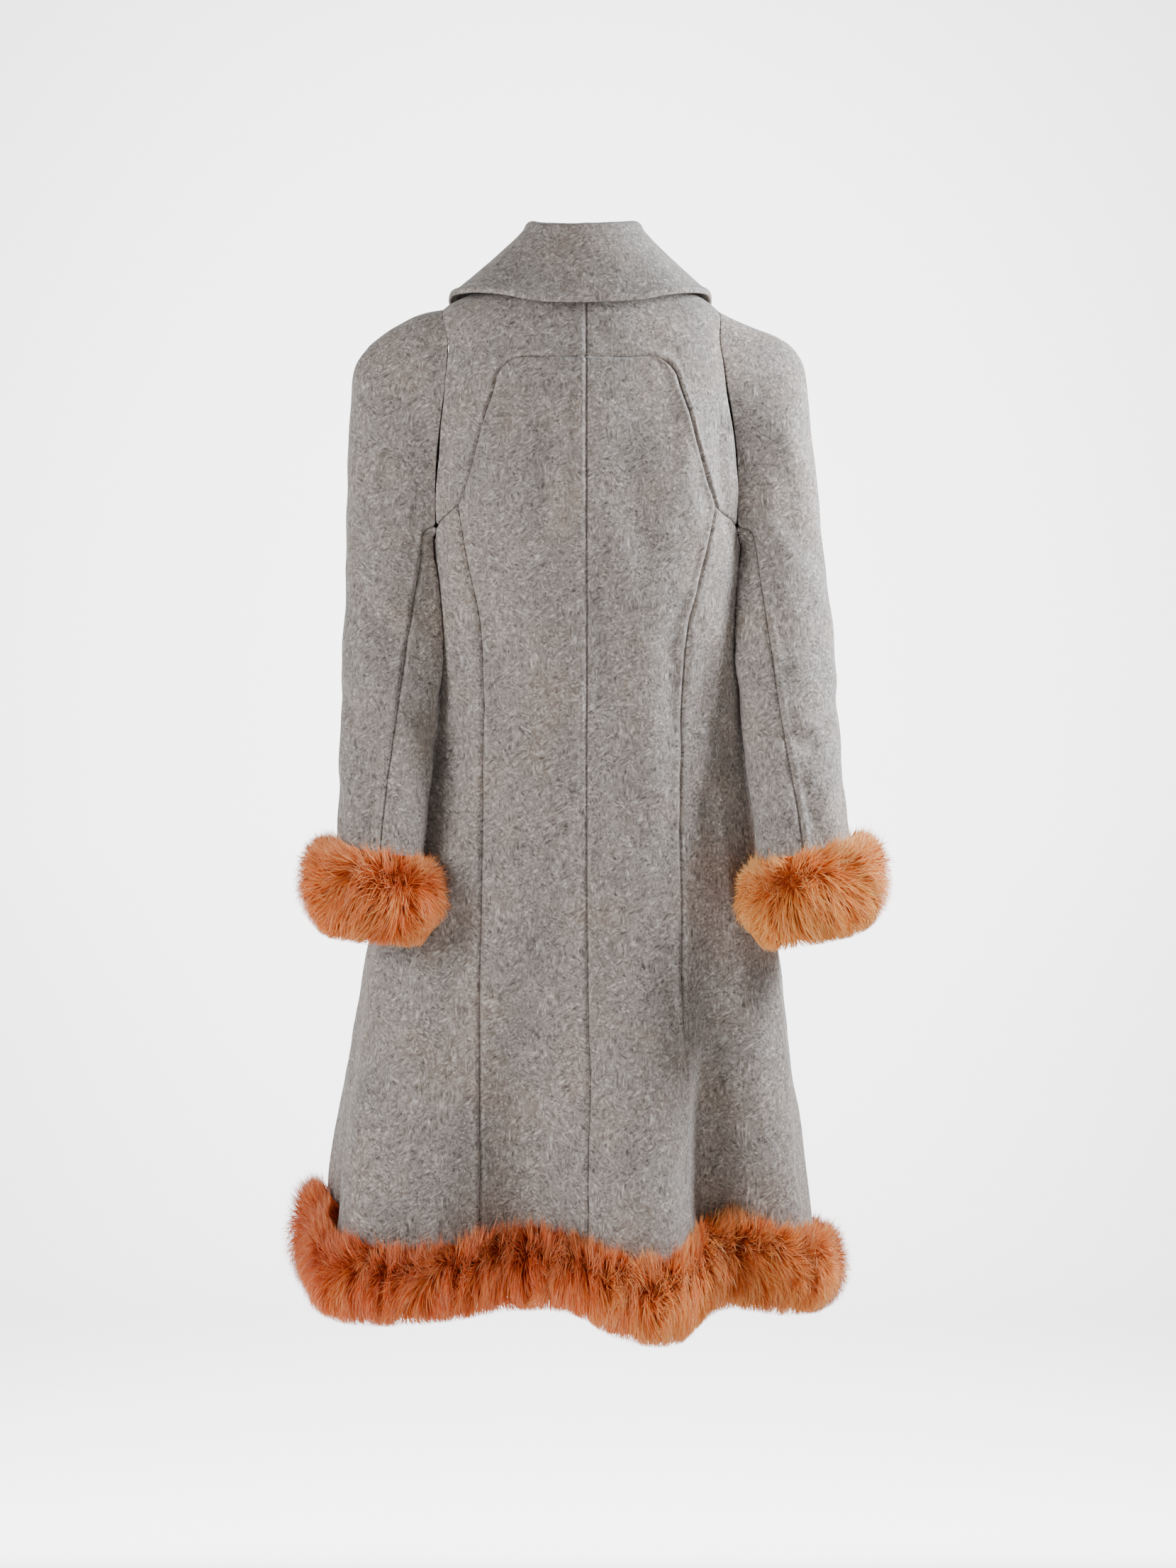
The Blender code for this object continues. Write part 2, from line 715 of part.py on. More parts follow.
def fur_hem(collection, fur):
    """The fur roll round the hem. It fills the folds' troughs and follows their ridges."""
    seat = []
    for row, level in ((-1, HEM_LEVEL), (-2, FUR_TOP_LEVEL)):
        turn = hem_turns(row, level)
        points, (_, out) = body(turn, level), ring(turn, level)
        sunk = points - body_normal(turn, level) * under_drop(points)[..., None]
        seat.append(np.where((turn < 0)[:, None], sunk, points) + out * SEAT)
    turn = hem_turns(-1, HEM_LEVEL)
    base, out = ring(turn, HEM_LEVEL)
    lift = fold_lift(turn, HEM_LEVEL)
    dip, tallness, thickness = np.moveaxis(smooth_rows(HEM_ROUND, turn), -1, 0)
    most_out = max(row[1] for row in HEM_SECTION)
    pile = []
    for below, stand in HEM_SECTION:
        filled = np.where(lift < 0, lift * (1 - VALLEY_FILL * max(stand, 0) / most_out), lift)
        points = base + out * (filled + stand * thickness)[:, None]
        points[:, 2] = -HEM_LEVEL - dip - below * tallness
        pile.append(points)
    below_hem = seat[0] - [0, 0, HEM_GAP]
    sections = np.stack(pile + [below_hem, seat[1]], axis=1)
    add_piece("fur_hem", *roll_mesh(sections, False), fur, collection)


# The collar is one wall: a stand up from the neck, a roll over, and a fall spread on the shoulders.
# The turn is along the neck seam, and the roll is given from the neck seam.
COLLAR = [
    # turn, lean_in, roll_height, roll_radius, left_x, right_x, edge_y, edge_z, bow
    (-84, 0, 15, 4.5, 84, 82, -124, -150, 0.02),
    (-63, 4, 21, 5.5, 103, 98, -111, -117, 0.02),
    (-42, 10, 30, 6.5, 119, 111, -88, -74, 0.01),
    (-21, 16, 40, 6.5, 132, 121, -47, -34, -0.02),
    (0, 20, 45, 6.5, 137, 124, 4, -17, -0.05),
    (22.5, 18, 46, 6.5, 123, 112, 52, -17, -0.05),
    (45, 12, 48, 7, 91, 85, 84, -22, -0.02),
    (67.5, 7, 51, 7, 46, 45, 96, -30, 0.01),
    (90, 5, 53, 7, 0, 0, 99, -32, 0.02),
]
COLLAR_GAP = 0.8
STAND_STEPS, ROLL_STEPS, FALL_STEPS = 2, 4, 4
FALL_FLAT = 0.3


def collar_half(side):
    """Outer points of half the collar: rows along the neck from the front, columns over the roll."""
    front = np.linspace(front_edge(NECK_LEVEL, side)[0], SIDE, FRONT_STEPS + 1)
    turn = chain(front[front >= COLLAR[0][0]], np.linspace(SIDE, CENTRE_BACK, NECK_STEPS + 1))
    rows = np.moveaxis(smooth_rows(COLLAR, turn), -1, 0)
    lean, height, radius, left_x, right_x, edge_y, edge_z, bow = (row[:, None] for row in rows)
    round_it = round_turn(turn, side)
    up = unit(body(round_it, NECK_LEVEL) - body(round_it, NECK_LEVEL + 2))
    root = body(round_it, NECK_LEVEL) + up * COLLAR_GAP
    edge = np.concatenate([side * (left_x if side == LEFT else right_x), edge_y, edge_z], axis=1)
    away = (edge - root) * [1, 1, 0]
    away = unit(away)
    top = root - away * lean + height * np.array([0, 0, 1.0])
    middle = top - radius * np.array([0, 0, 1.0])
    stand = [root + (middle - away * radius - root) * share
             for share in np.linspace(0, 1, STAND_STEPS + 1)]
    arc = [middle + radius * (np.array([0, 0, math.sin(angle)]) - away * math.cos(angle))
           for angle in np.linspace(0, math.pi, ROLL_STEPS + 1)[1:]]
    begin = arc[-1]
    drop = np.linalg.norm(edge - begin, axis=1, keepdims=True)
    bend = begin + (edge - begin) * FALL_FLAT + away * drop * bow
    fall = [(1 - t) ** 2 * begin + 2 * t * (1 - t) * bend + t**2 * edge
            for t in np.linspace(0, 1, FALL_STEPS + 1)[1:]]
    return np.stack(stand + arc + fall, axis=1)


def collar(collection, wool):
    left, right = collar_half(LEFT), collar_half(RIGHT)
    points = np.concatenate([left, right[::-1][1:]])
    along = np.gradient(points, axis=0)
    over = np.gradient(points, axis=1)
    normals = unit(np.cross(along, over))
    add_piece("collar", *wall_mesh(points, points - normals * COLLAR_WALL), wool, collection)


# Plain shank buttons down the centre of the right front, each on a row of its points.
BUTTON_LEVELS = [60, 172, 282, 402, 500]
BUTTON_PROFILE = [
    # radius, height
    (0, 6.4),
    (7.5, 6.4),
    (9.5, 7.2),
    (11.5, 6.2),
    (11.5, 4.4),
    (8.5, 3.0),
    (3.0, 2.8),
    (3.0, 0.0),
    (0, 0.0),
]
BUTTON_STEPS = 16
BUTTON_SEAT = 0.5


def buttons(collection, horn):
    """Buttons turned from one profile, each with its shank on the cloth."""
    mesh = bpy.data.meshes.new("button")
    points = [(radius * MM, 0, height * MM) for radius, height in BUTTON_PROFILE]
    mesh.from_pydata(points, [(p, p + 1) for p in range(len(points) - 1)], [])
    mesh.materials.append(horn)
    grid = front_grid(RIGHT, body_lines(RIGHT))
    points, _ = body_face(grid, RIGHT)
    for number, wanted in enumerate(BUTTON_LEVELS, start=1):
        row = int(np.argmin(np.abs(grid[:, 0, 1] - wanted)))
        level = grid[row, 0, 1]
        button = bpy.data.objects.new(f"button_{number}", mesh)
        screw = button.modifiers.new("turned", "SCREW")
        screw.steps = screw.render_steps = BUTTON_STEPS
        screw.use_merge_vertices = True
        screw.merge_threshold = 0.0001
        turn = round_turn(CENTRE_FRONT, RIGHT)
        normal = body_normal(turn, level)
        on_row = [np.interp(0, points[row, :, 0], points[row, :, axis]) for axis in (1, 2)]
        seat = np.array([0, *on_row]) + normal * BUTTON_SEAT
        button.location = seat * MM
        button.rotation_mode = "XYZ"
        button.rotation_euler = (math.atan2(-normal[1], normal[2]), 0, 0)
        collection.objects.link(button)


def clear_scene():
    for piece in list(bpy.data.objects):
        bpy.data.objects.remove(piece)


def build():
    clear_scene()
    coat = bpy.data.collections.new("fur_trimmed_coat")
    bpy.context.scene.collection.children.link(coat)
    wool = new_material("grey_melange_wool", (0.33, 0.32, 0.30), 0.95)
    fur = new_material("apricot_fur", (0.62, 0.24, 0.07), 0.8)
    horn = new_material("grey_horn", (0.16, 0.15, 0.14), 0.35)
    body_panels(coat, wool)
    sleeves(coat, wool)
    fur_cuffs(coat, fur)
    fur_hem(coat, fur)
    collar(coat, wool)
    buttons(coat, horn)


build()
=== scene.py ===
"""The looks of a fur trimmed wool coat: its cloth, fur and buttons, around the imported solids."""

import math

import bpy
import numpy as np
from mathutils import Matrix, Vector


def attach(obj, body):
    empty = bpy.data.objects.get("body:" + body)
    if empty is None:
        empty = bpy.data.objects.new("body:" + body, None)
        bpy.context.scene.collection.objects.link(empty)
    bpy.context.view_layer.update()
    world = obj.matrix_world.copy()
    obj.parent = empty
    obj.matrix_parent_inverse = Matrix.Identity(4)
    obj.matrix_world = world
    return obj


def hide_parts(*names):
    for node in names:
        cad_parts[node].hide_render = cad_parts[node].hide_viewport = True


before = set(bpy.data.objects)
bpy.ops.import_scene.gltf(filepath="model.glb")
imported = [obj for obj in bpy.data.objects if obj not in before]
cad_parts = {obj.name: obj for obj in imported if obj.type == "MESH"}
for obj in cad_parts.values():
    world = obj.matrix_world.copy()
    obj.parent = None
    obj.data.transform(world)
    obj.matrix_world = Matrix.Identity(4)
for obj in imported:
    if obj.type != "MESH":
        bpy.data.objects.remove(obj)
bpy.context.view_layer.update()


# The back yoke. Two pieces of thick melange wool coating, napped on one side, joined at the centre
# back and sewn to the armholes. Each ends in a narrow strip that runs down behind the underarm.

MM = 0.001
LEFT, RIGHT = 1, -1
HANDS = ((LEFT, "left"), (RIGHT, "right"))
CENTRE_BACK, SIDE = 90.0, 0.0
NECK_LEVEL, TIP_LEVEL, HEM_LEVEL = 4.0, 42.0, 975.0

# Rings round the body, from the neck to the hem. The sides stand higher than the centre back by
# side_rise, and the centre front hangs lower than it by front_drop.
RINGS = [
    # level, side_rise, front_drop, left, right, back, front, centre_y, squareness
    (4, 18, 68, 74, 67, 60, 64, 0, 2.1),
    (20, 16, 64, 106, 98, 73, 77, 0, 2.1),
    (42, 18, 56, 141, 129, 85, 90, 0, 2.2),
    (82, 16, 40, 154, 149, 96, 105, 0, 2.3),
    (122, 10, 24, 158, 157, 106, 115, 0, 2.35),
    (182, 2, 6, 160, 160, 114, 121, 0, 2.4),
    (245, 0, 0, 158, 157, 114, 122, 0, 2.4),
    (320, 0, 0, 152, 154, 105, 112, -2, 2.4),
    (392, 0, 0, 152, 156, 98, 104, -5, 2.4),
    (450, 0, 0, 156, 159, 101, 111, -10, 2.4),
    (510, 0, 0, 170, 168, 110, 125, -16, 2.4),
    (571, 0, 0, 195, 179, 118, 136, -20, 2.35),
    (674, 0, 0, 225, 198, 124, 144, -25, 2.3),
    (790, 0, 0, 243, 208, 122, 148, -22, 2.3),
    (880, 0, 0, 254, 215, 120, 149, -18, 2.3),
    (975, 0, 0, 261, 224, 118, 150, -15, 2.35),
]

# Folds of the skirt, which grow from their top level to the hem. A ridge has a positive lift. The
# turns here run all the way round, from 0 at the left side by 90 at the back to 180 at the right.
FOLDS = [
    # turn, half_width, lift, top_level
    (40, 24, 32, 650),
    (75, 19, -44, 600),
    (105, 22, 40, 560),
    (125, 16, -52, 600),
    (147, 17, 24, 650),
    (168, 14, -12, 700),
    (196, 19, 22, 650),
    (219, 17, -26, 600),
    (243, 19, 30, 580),
    (300, 19, 27, 600),
    (322, 16, -33, 580),
    (343, 17, 20, 660),
    (12, 14, -9, 700),
]

# The hem isn't level. Round it, it dips, and its fur is this many times as tall and as thick.
HEM_ROUND = [
    # turn, dip, tallness, thickness
    (-90, 0, 1.0, 1.0),
    (-60, 0, 1.0, 1.0),
    (0, -14, 1.46, 1.06),
    (36, -4, 1.1, 1.03),
    (57, 2, 0.94, 1.0),
    (75, -9, 1.06, 1.0),
    (88, -8, 0.98, 1.0),
    (97, 1, 1.05, 1.0),
    (105, 6, 1.06, 1.0),
    (121, -6, 1.22, 1.0),
    (132, -14, 1.2, 1.0),
    (142, -8, 1.08, 0.97),
    (153, -4, 1.0, 0.92),
    (180, 20, 1.0, 0.85),
    (240, 0, 1.0, 1.0),
    (270, 0, 1.0, 1.0),
]
DIP_TOP = 560.0

# Seams, as they lie on the back or the front half. Each x is measured from the centre line.
YOKE_SEAM = [
    # station, x, z
    (0, 0, -82),
    (4, 36, -82),
    (8, 68, -83),
    (9, 78, -87),
    (10, 87, -97),
    (11, 91, -112),
    (13, 100, -143),
    (15, 109, -175),
    (17, 117.5, -202),
    (19, 127, -225),
]
# The armhole's edges, from the shoulder tip down to the underarm, as they lie from the side.
ARMHOLE_BACK = [
    # station, y, z
    (0, 0, -24),
    (1, 26, -32),
    (2, 44, -50),
    (3, 53.5, -75),
    (4, 58, -106),
    (6, 55.5, -176),
    (8, 48, -243),
]
ARMHOLE_FRONT = [
    # station, y, z
    (0, 0, -24),
    (1, -24, -33),
    (2, -40, -52),
    (3, -50, -80),
    (4, -56, -112),
    (6, -56, -182),
    (8, -48, -243),
]


def smooth_rows(table, at):
    """The other columns of a table, read at these values of its first column.

    Between two rows it is the cubic that meets their values and their slopes.
    """
    rows = np.array(table, float)
    keys, values = rows[:, 0], rows[:, 1:]
    slopes = np.gradient(values, keys, axis=0)
    at = np.clip(np.asarray(at, float), keys[0], keys[-1])
    low = np.clip(np.searchsorted(keys, at, side="right") - 1, 0, len(keys) - 2)
    span = (keys[low + 1] - keys[low])[..., None]
    t = (at - keys[low])[..., None] / span
    start = (2 * t**3 - 3 * t**2 + 1) * values[low] + (t**3 - 2 * t**2 + t) * span * slopes[low]
    end = (3 * t**2 - 2 * t**3) * values[low + 1] + (t**3 - t**2) * span * slopes[low + 1]
    return start + end


def columns_at(table, at):
    """The same with one array for each of the other columns."""
    return np.moveaxis(smooth_rows(table, at), -1, 0)


def unit(vectors):
    """Each vector over its length."""
    return vectors / np.linalg.norm(vectors, axis=-1, keepdims=True)


def ease(share):
    """s^2 (3 - 2 s), with s the share held between 0 and 1."""
    share = np.clip(share, 0, 1)
    return share * share * (3 - 2 * share)


def round_turn(turn, side):
    """The turn all the way round the body, of a turn on the left or the right half."""
    return turn if side == LEFT else 180.0 - turn


def ring(turn, level):
    """The body before its folds, and the level direction straight out of it.

    A ring is |x / width|^s + |y / depth|^s = 1, s being its squareness, and falls by sin^2 of its turn.
    """
    (side_rise, front_drop, left, right, back, front, centre_y,
     squareness) = columns_at(RINGS, level)
    across, along = np.cos(np.radians(turn)), np.sin(np.radians(turn))
    width = np.where(across > 0, left, right)
    depth = np.where(along > 0, back, front)
    reach = (np.abs(across) ** squareness + np.abs(along) ** squareness) ** (-1 / squareness)
    across, along = across * reach, along * reach
    fall = np.where(along > 0, side_rise, side_rise + front_drop) * np.sin(np.radians(turn)) ** 2
    points = np.stack([width * across, centre_y + depth * along, side_rise - level - fall], -1)
    steep = squareness - 1
    out_x = np.sign(across) * np.abs(across) ** steep / width
    out_y = np.sign(along) * np.abs(along) ** steep / depth
    return points, unit(np.stack([out_x, out_y, 0 * out_x], -1))


def fold_lift(turn, level):
    """How far the skirt's folds stand out of the ring: a sum of round ridges and troughs."""
    lift = np.zeros(np.broadcast(turn, level).shape)
    for centre, half_width, rise, top in FOLDS:
        away = (np.asarray(turn) - centre + 180) % 360 - 180
        grown = ease((np.asarray(level) - top) / (HEM_LEVEL - top))
        lift += rise * grown * (0.5 + 0.5 * np.cos(np.pi * np.clip(away / half_width, -1, 1)))
    return lift


def hem_dip(turn, level):
    """How far the skirt dips below its level, growing from its top to the hem."""
    grown = ease((np.asarray(level) - DIP_TOP) / (HEM_LEVEL - DIP_TOP))
    return smooth_rows(HEM_ROUND, turn)[..., 0] * grown


def body(turn, level):
    """The outer face of the coat's body."""
    turn, level = np.broadcast_arrays(np.asarray(turn, float), np.asarray(level, float))
    points, out = ring(turn, level)
    points[..., 2] -= hem_dip(turn, level)
    return points + out * fold_lift(turn, level)[..., None]


def body_normal(turn, level):
    """The direction out of the body: its run round the body x its run upwards, of length 1."""
    turn, level = np.asarray(turn, float), np.asarray(level, float)
    round_it = body(turn + 1, level) - body(turn - 1, level)
    up = body(turn, level - 2) - body(turn, level + 2)
    return unit(np.cross(round_it, up))


def turn_of(share, squareness):
    """The turn where a ring reaches this share of its half width: atan((share^-s - 1)^(1 / s))."""
    share = np.clip(share, 0.001, 0.999)
    return np.degrees(np.arctan((share**-squareness - 1) ** (1 / squareness)))


def turn_at(x, level, side, back):
    """The turn on a half where its ring is this far from the centre line."""
    _, _, left, right, _, _, _, squareness = columns_at(RINGS, level)
    turn = turn_of(x / (left if side == LEFT else right), squareness)
    return turn if back else -turn


def turn_at_depth(y, level):
    """The turn where the ring is this far behind the shoulder seam, or before it."""
    _, _, _, _, back, front, centre_y, squareness = columns_at(RINGS, level)
    share = np.abs(y - centre_y) / np.where(y > 0, back, front)
    return np.where(y > 0, 1, -1) * (90 - turn_of(share, squareness))


def on_upper_body(find_turn, z, side):
    """The turn and level of points at this height on the upper body, whose rings aren't level.

    The level goes down by as much as the point is too high, until the two meet.
    """
    level = -np.asarray(z, float)
    for _ in range(12):
        turn = find_turn(level)
        points, _ = ring(round_turn(turn, side), level)
        level = level + points[..., 2] - z
    return np.stack([turn, level], -1)


UNDERARM_LEVEL = 264.0
FINE = 8  # points to a station of a table
WALL = 2.5
NEAR_EDGE, CLOSER = 6.0, 3.0


def chain(*lines):
    """Lines that follow each other, joined at their shared ends."""
    return np.concatenate([lines[0]] + [line[1:] for line in lines[1:]])


def straight(start, end, steps):
    """start + (end - start) i / steps."""
    return np.linspace(start, end, steps + 1)


def fill(top, bottom, first, last, u, v):
    """A Coons patch between four edges: the two blends between facing edges, less the corners."""
    u, v = u[None, :, None], v[:, None, None]
    between = (1 - v) * top[None] + v * bottom[None] + (1 - u) * first[:, None] + u * last[:, None]
    corners = (1 - v) * ((1 - u) * top[0] + u * top[-1])
    return between - corners - v * ((1 - u) * bottom[0] + u * bottom[-1])


def along(line, shares):
    """A line read at these shares of its count, straight between its points."""
    at = shares * (len(line) - 1)
    low = np.minimum(at.astype(int), len(line) - 2)
    return line[low] + (line[low + 1] - line[low]) * (at - low)[:, None]


def lengths(points, axis=0):
    """The length run from the start of an axis of a grid: the sum of |p(i + 1) - p(i)|."""
    step = np.linalg.norm(np.diff(points, axis=axis), axis=-1)
    start = np.zeros_like(np.take(step, [0], axis=axis))
    return np.concatenate([start, np.cumsum(step, axis=axis)], axis=axis)


def even_shares(line, step, sewn=(1, 1)):
    """Shares of a line's count, a step apart in length and closer near a sewn end.

    The density at a distance d from a sewn end is (1 + closer e^(-d / near edge)) / step.
    """
    run = lengths(line)
    near = sewn[0] * np.exp(-run / NEAR_EDGE) + sewn[1] * np.exp(-(run[-1] - run) / NEAR_EDGE)
    density = (1 + CLOSER * near) / step
    count = np.concatenate([[0], np.cumsum((density[1:] + density[:-1]) / 2 * np.diff(run))])
    wanted = np.linspace(0, count[-1], int(math.ceil(count[-1])) + 1)
    return np.interp(wanted, count, np.linspace(0, 1, len(line)))


def neck_line():
    """The neck seam from the centre back to the shoulder."""
    turn = np.linspace(CENTRE_BACK, SIDE, 8 * FINE + 1)
    return np.stack([turn, np.full_like(turn, NECK_LEVEL)], -1)


def shoulder_line():
    """The shoulder seam, from the neck out to the tip."""
    level = np.linspace(NECK_LEVEL, TIP_LEVEL, 3 * FINE + 1)
    return np.stack([np.full_like(level, SIDE), level], -1)


def armhole_line(table, side):
    """One edge of the armhole, from the shoulder tip down to the underarm."""
    y, z = columns_at(table, np.linspace(0, 8, 8 * FINE + 1))
    line = on_upper_body(lambda level: turn_at_depth(y, level), z, side)
    line[0] = SIDE, TIP_LEVEL
    return line


def yoke_line(side):
    """The seam under the yoke, from the centre back to the end of its strip under the arm."""
    x, z = columns_at(YOKE_SEAM, np.linspace(0, 19, 19 * FINE + 1))
    line = on_upper_body(lambda level: turn_at(x, level, side, True), z, side)
    line[0] = CENTRE_BACK, -YOKE_SEAM[0][2]
    return line


# Soft creases of the body cloth, as long dents and ridges. Turns run all the way round.
CREASES = [
    # turn, level, end_turn, end_level, half_width, depth
    (128, 300, 118, 470, 14, -5.6),
    (52, 300, 61, 470, 14, -5.6),
    (77, 105, 73, 280, 14, -4.8),
    (57, 120, 50, 260, 12, 3.9),
    (66, 250, 78, 420, 14, 3.6),
    (124, 105, 129, 260, 12, 3.9),
    (141, 130, 145, 255, 10, -4.2),
    (106, 130, 110, 320, 15, -4.2),
    (97, 280, 95, 450, 14, -4.8),
    (113, 380, 108, 680, 18, 5.3),
    (147, 420, 144, 650, 13, -5.6),
    (95, 590, 94, 880, 14, -5.3),
    (80, 420, 84, 760, 18, -4.2),
    (69, 470, 66, 800, 14, 4.2),
    (136, 470, 128, 700, 13, -5.0),
    (118, 520, 116, 900, 11, 3.6),
    (60, 480, 57, 820, 15, -5.0),
    (50, 520, 47, 860, 13, 4.5),
    (38, 350, 50, 440, 11, -4.2),
    (142, 350, 130, 440, 11, -4.2),
    (34, 430, 44, 500, 12, -4.2),
    (148, 430, 138, 500, 12, -4.2),
    (10, 560, 14, 860, 18, -3.4),
    (172, 560, 170, 860, 18, -3.4),
    (158, 600, 156, 900, 13, 4.2),
    (-40, 150, -62, 300, 16, -3.2),
    (222, 150, 240, 300, 16, -3.2),
    (-30, 360, -50, 450, 13, -3.4),
    (212, 360, 230, 450, 13, -3.4),
    (-60, 480, -58, 800, 18, -3.4),
    (243, 480, 240, 800, 18, -3.4),
    (262, 420, 264, 760, 18, 2.4),
]
MM_A_DEGREE, BODY_WAVER = 2.5, 4.0


def crease_lift(creases, turn, level, mm_a_degree, waver, short_way=lambda away: away):
    """The sum over the creases of depth e^(-(d / half width)^2), d being the distance to its line.

    Each fades out over its last quarters, and its line wavers by this many millimetres. On a sleeve
    turns differ by the short way round.
    """
    lift = np.zeros(np.broadcast(turn, level).shape)
    for number, (turn_a, level_a, turn_b, level_b, half_width, depth) in enumerate(creases):
        run = np.array([short_way(turn_b - turn_a) * mm_a_degree, level_b - level_a])
        away = np.stack([short_way(turn - turn_a) * mm_a_degree, level - level_a], -1)
        share = away @ run / (run @ run)
        off = (away[..., 0] * run[1] - away[..., 1] * run[0]) / np.linalg.norm(run)
        off = off + waver * np.sin(5 * share + number)
        fade = ease(share * 4) * ease((1 - share) * 4)
        lift += depth * fade * np.exp(-(off / half_width) ** 2)
    return lift


# Thick cloth is never quite even. Each row is a wave over the cloth, in millimetres.
UNEVENNESS = [
    # wave_x, wave_y, wave_z, shift, height
    (0.051, 0.033, 0.021, 0.3, 0.55),
    (-0.037, 0.049, 0.043, 1.7, 0.50),
    (0.083, -0.021, -0.062, 2.9, 0.36),
    (-0.022, -0.071, 0.094, 4.1, 0.32),
    (0.13, 0.09, -0.11, 5.2, 0.20),
    (-0.16, 0.11, 0.14, 0.9, 0.16),
]
SEAM_SINK, SINK_WIDTH = 2.0, 1.6
RIDGE_AWAY, RIDGE_WIDTH = 5.0, 3.2
PLAIN, PRESSED = 0.3, 1.7


def uneven(points):
    """The sum of height sin(wave . p + shift) over the waves."""
    rows = np.array(UNEVENNESS)
    return np.sin(points @ rows[:, :3].T + rows[:, 3]) @ rows[:, 4]


def seam_lift(points, sewn):
    """The groove at sewn edges and the ridge that the cloth turned under makes beside it.

    At a distance d from an edge it is rise e^(-((d - ridge away) / ridge width)^2)
    - sink e^(-(d / sink width)^2). The rises are given for the first and last row, then the first
    and last column, and are 0 where none is sewn.
    """
    lift = np.zeros(points.shape[:2])
    for axis in (0, 1):
        run = lengths(points, axis)
        for rise, away in zip(sewn[2 * axis:2 * axis + 2], (run, np.take(run, [-1], axis) - run)):
            if rise:
                lift += rise * np.exp(-((away - RIDGE_AWAY) / RIDGE_WIDTH) ** 2)
                lift -= SEAM_SINK * np.exp(-(away / SINK_WIDTH) ** 2)
    return lift


def add_object(name, data):
    """An object of this data in the scene."""
    made = bpy.data.objects.new(name, data)
    bpy.context.scene.collection.objects.link(made)
    return made


def add_mesh(name, points, corners, starts):
    """An object with a smooth mesh: points in millimetres, its faces' corners and where each starts."""
    mesh = bpy.data.meshes.new(name)
    mesh.vertices.add(points.size // 3)
    mesh.vertices.foreach_set("co", (points * MM).astype(np.float32).ravel())
    mesh.loops.add(corners.size)
    mesh.loops.foreach_set("vertex_index", corners.ravel().astype(np.int32))
    mesh.polygons.add(starts.size)
    mesh.polygons.foreach_set("loop_start", starts.ravel().astype(np.int32))
    mesh.update(calc_edges=True)
    mesh.shade_smooth()
    return add_object(name, mesh)


def grid_mesh(name, points, normals):
    """A mesh of four-sided faces on a grid of points in millimetres, facing along the normals."""
    if np.sum(np.cross(points[1:, :-1] - points[:-1, :-1], points[:-1, 1:] - points[:-1, :-1])
              * normals[:-1, :-1]) < 0:
        points = points[:, ::-1]
    rows, columns = points.shape[:2]
    corner = np.arange(rows * columns).reshape(rows, columns)
    faces = np.stack([corner[:-1, :-1], corner[1:, :-1], corner[1:, 1:], corner[:-1, 1:]], -1)
    return add_mesh(name, points, faces, np.arange(0, faces.size, 4))


def add_cloth(name, points, normals, node_name, cut, hangs_from, wall=WALL):
    """A cloth piece with a wall on its inner side, which stands for its solid."""
    piece = grid_mesh(name, points, normals)
    thick = piece.modifiers.new("wall", "SOLIDIFY")
    thick.thickness = wall * MM
    thick.offset = -1
    piece.data.materials.append(wool)
    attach(piece, "root")
    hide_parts(node_name)


def linear(hex_colour):
    """Linear red, green and blue of an sRGB hex value: ((c + 0.055) / 1.055)^2.4 above 0.04."""
    shown = np.array([int(hex_colour[i:i + 2], 16) / 255 for i in (1, 3, 5)])
    return np.where(shown > 0.04045, ((shown + 0.055) / 1.055) ** 2.4, shown / 12.92)


def colour(hex_colour):
    """The same as a solid colour."""
    return (*linear(hex_colour), 1)


def node(material, kind, inputs=None, stops=None, **settings):
    """Adds a node with its settings, its ramp's stops, and its sockets set or joined."""
    made = material.node_tree.nodes.new("ShaderNode" + kind)
    for name, value in settings.items():
        setattr(made, name, value)
    if stops:
        ramp = made.color_ramp.elements
        while len(ramp) < len(stops):
            ramp.new(0.5)
        for element, (place, hex_colour) in zip(ramp, stops):
            element.position = place
            element.color = colour(hex_colour)
    for name, value in (inputs or {}).items():
        if isinstance(value, bpy.types.NodeSocket):
            material.node_tree.links.new(value, made.inputs[name])
        else:
            made.inputs[name].default_value = value
    return made


def new_material(name):
    """A material with no nodes."""
    material = bpy.data.materials.new(name)
    material.use_nodes = True
    material.node_tree.nodes.clear()
    return material


def finish_material(material, shader):
    """Joins a shader to the material's surface."""
    node(material, "OutputMaterial", {"Surface": shader.outputs[0]})


# Melange wool coating: light and dark fibres carded together, fulled and napped. The eye sees pale
# and dark fibres that lie every way in small patches, matt, with a soft pale bloom at the edges. A
# fibre is 0.03 mm thick, too fine to show, so locks of them are drawn 2 mm wide and 6 mm long.
def locks(material, place, turned):
    """Noise stretched three times along its own z, which is turned to this way, in degrees."""
    way = node(material, "Mapping", {"Vector": place, "Rotation": [math.radians(a) for a in turned],
                                     "Scale": (1, 1, 3.2)}, vector_type="TEXTURE")
    return node(material, "TexNoise", {"Vector": way.outputs["Vector"], "Scale": 1 / 0.0024,
                                       "Detail": 2.0, "Roughness": 0.6, "Distortion": 0.5})


def patches(material, place, size, first, second):
    """One pattern or the other, by patches of this size in metres with soft edges."""
    patch = node(material, "TexNoise", {"Vector": place, "Scale": 1 / size, "Detail": 1.0})
    edge = node(material, "MapRange", {"Value": patch.outputs["Fac"], "From Min": 0.45,
                                       "From Max": 0.55})
    return node(material, "Mix", {"Factor": edge.outputs["Result"], "A": first, "B": second},
                data_type="FLOAT").outputs["Result"]


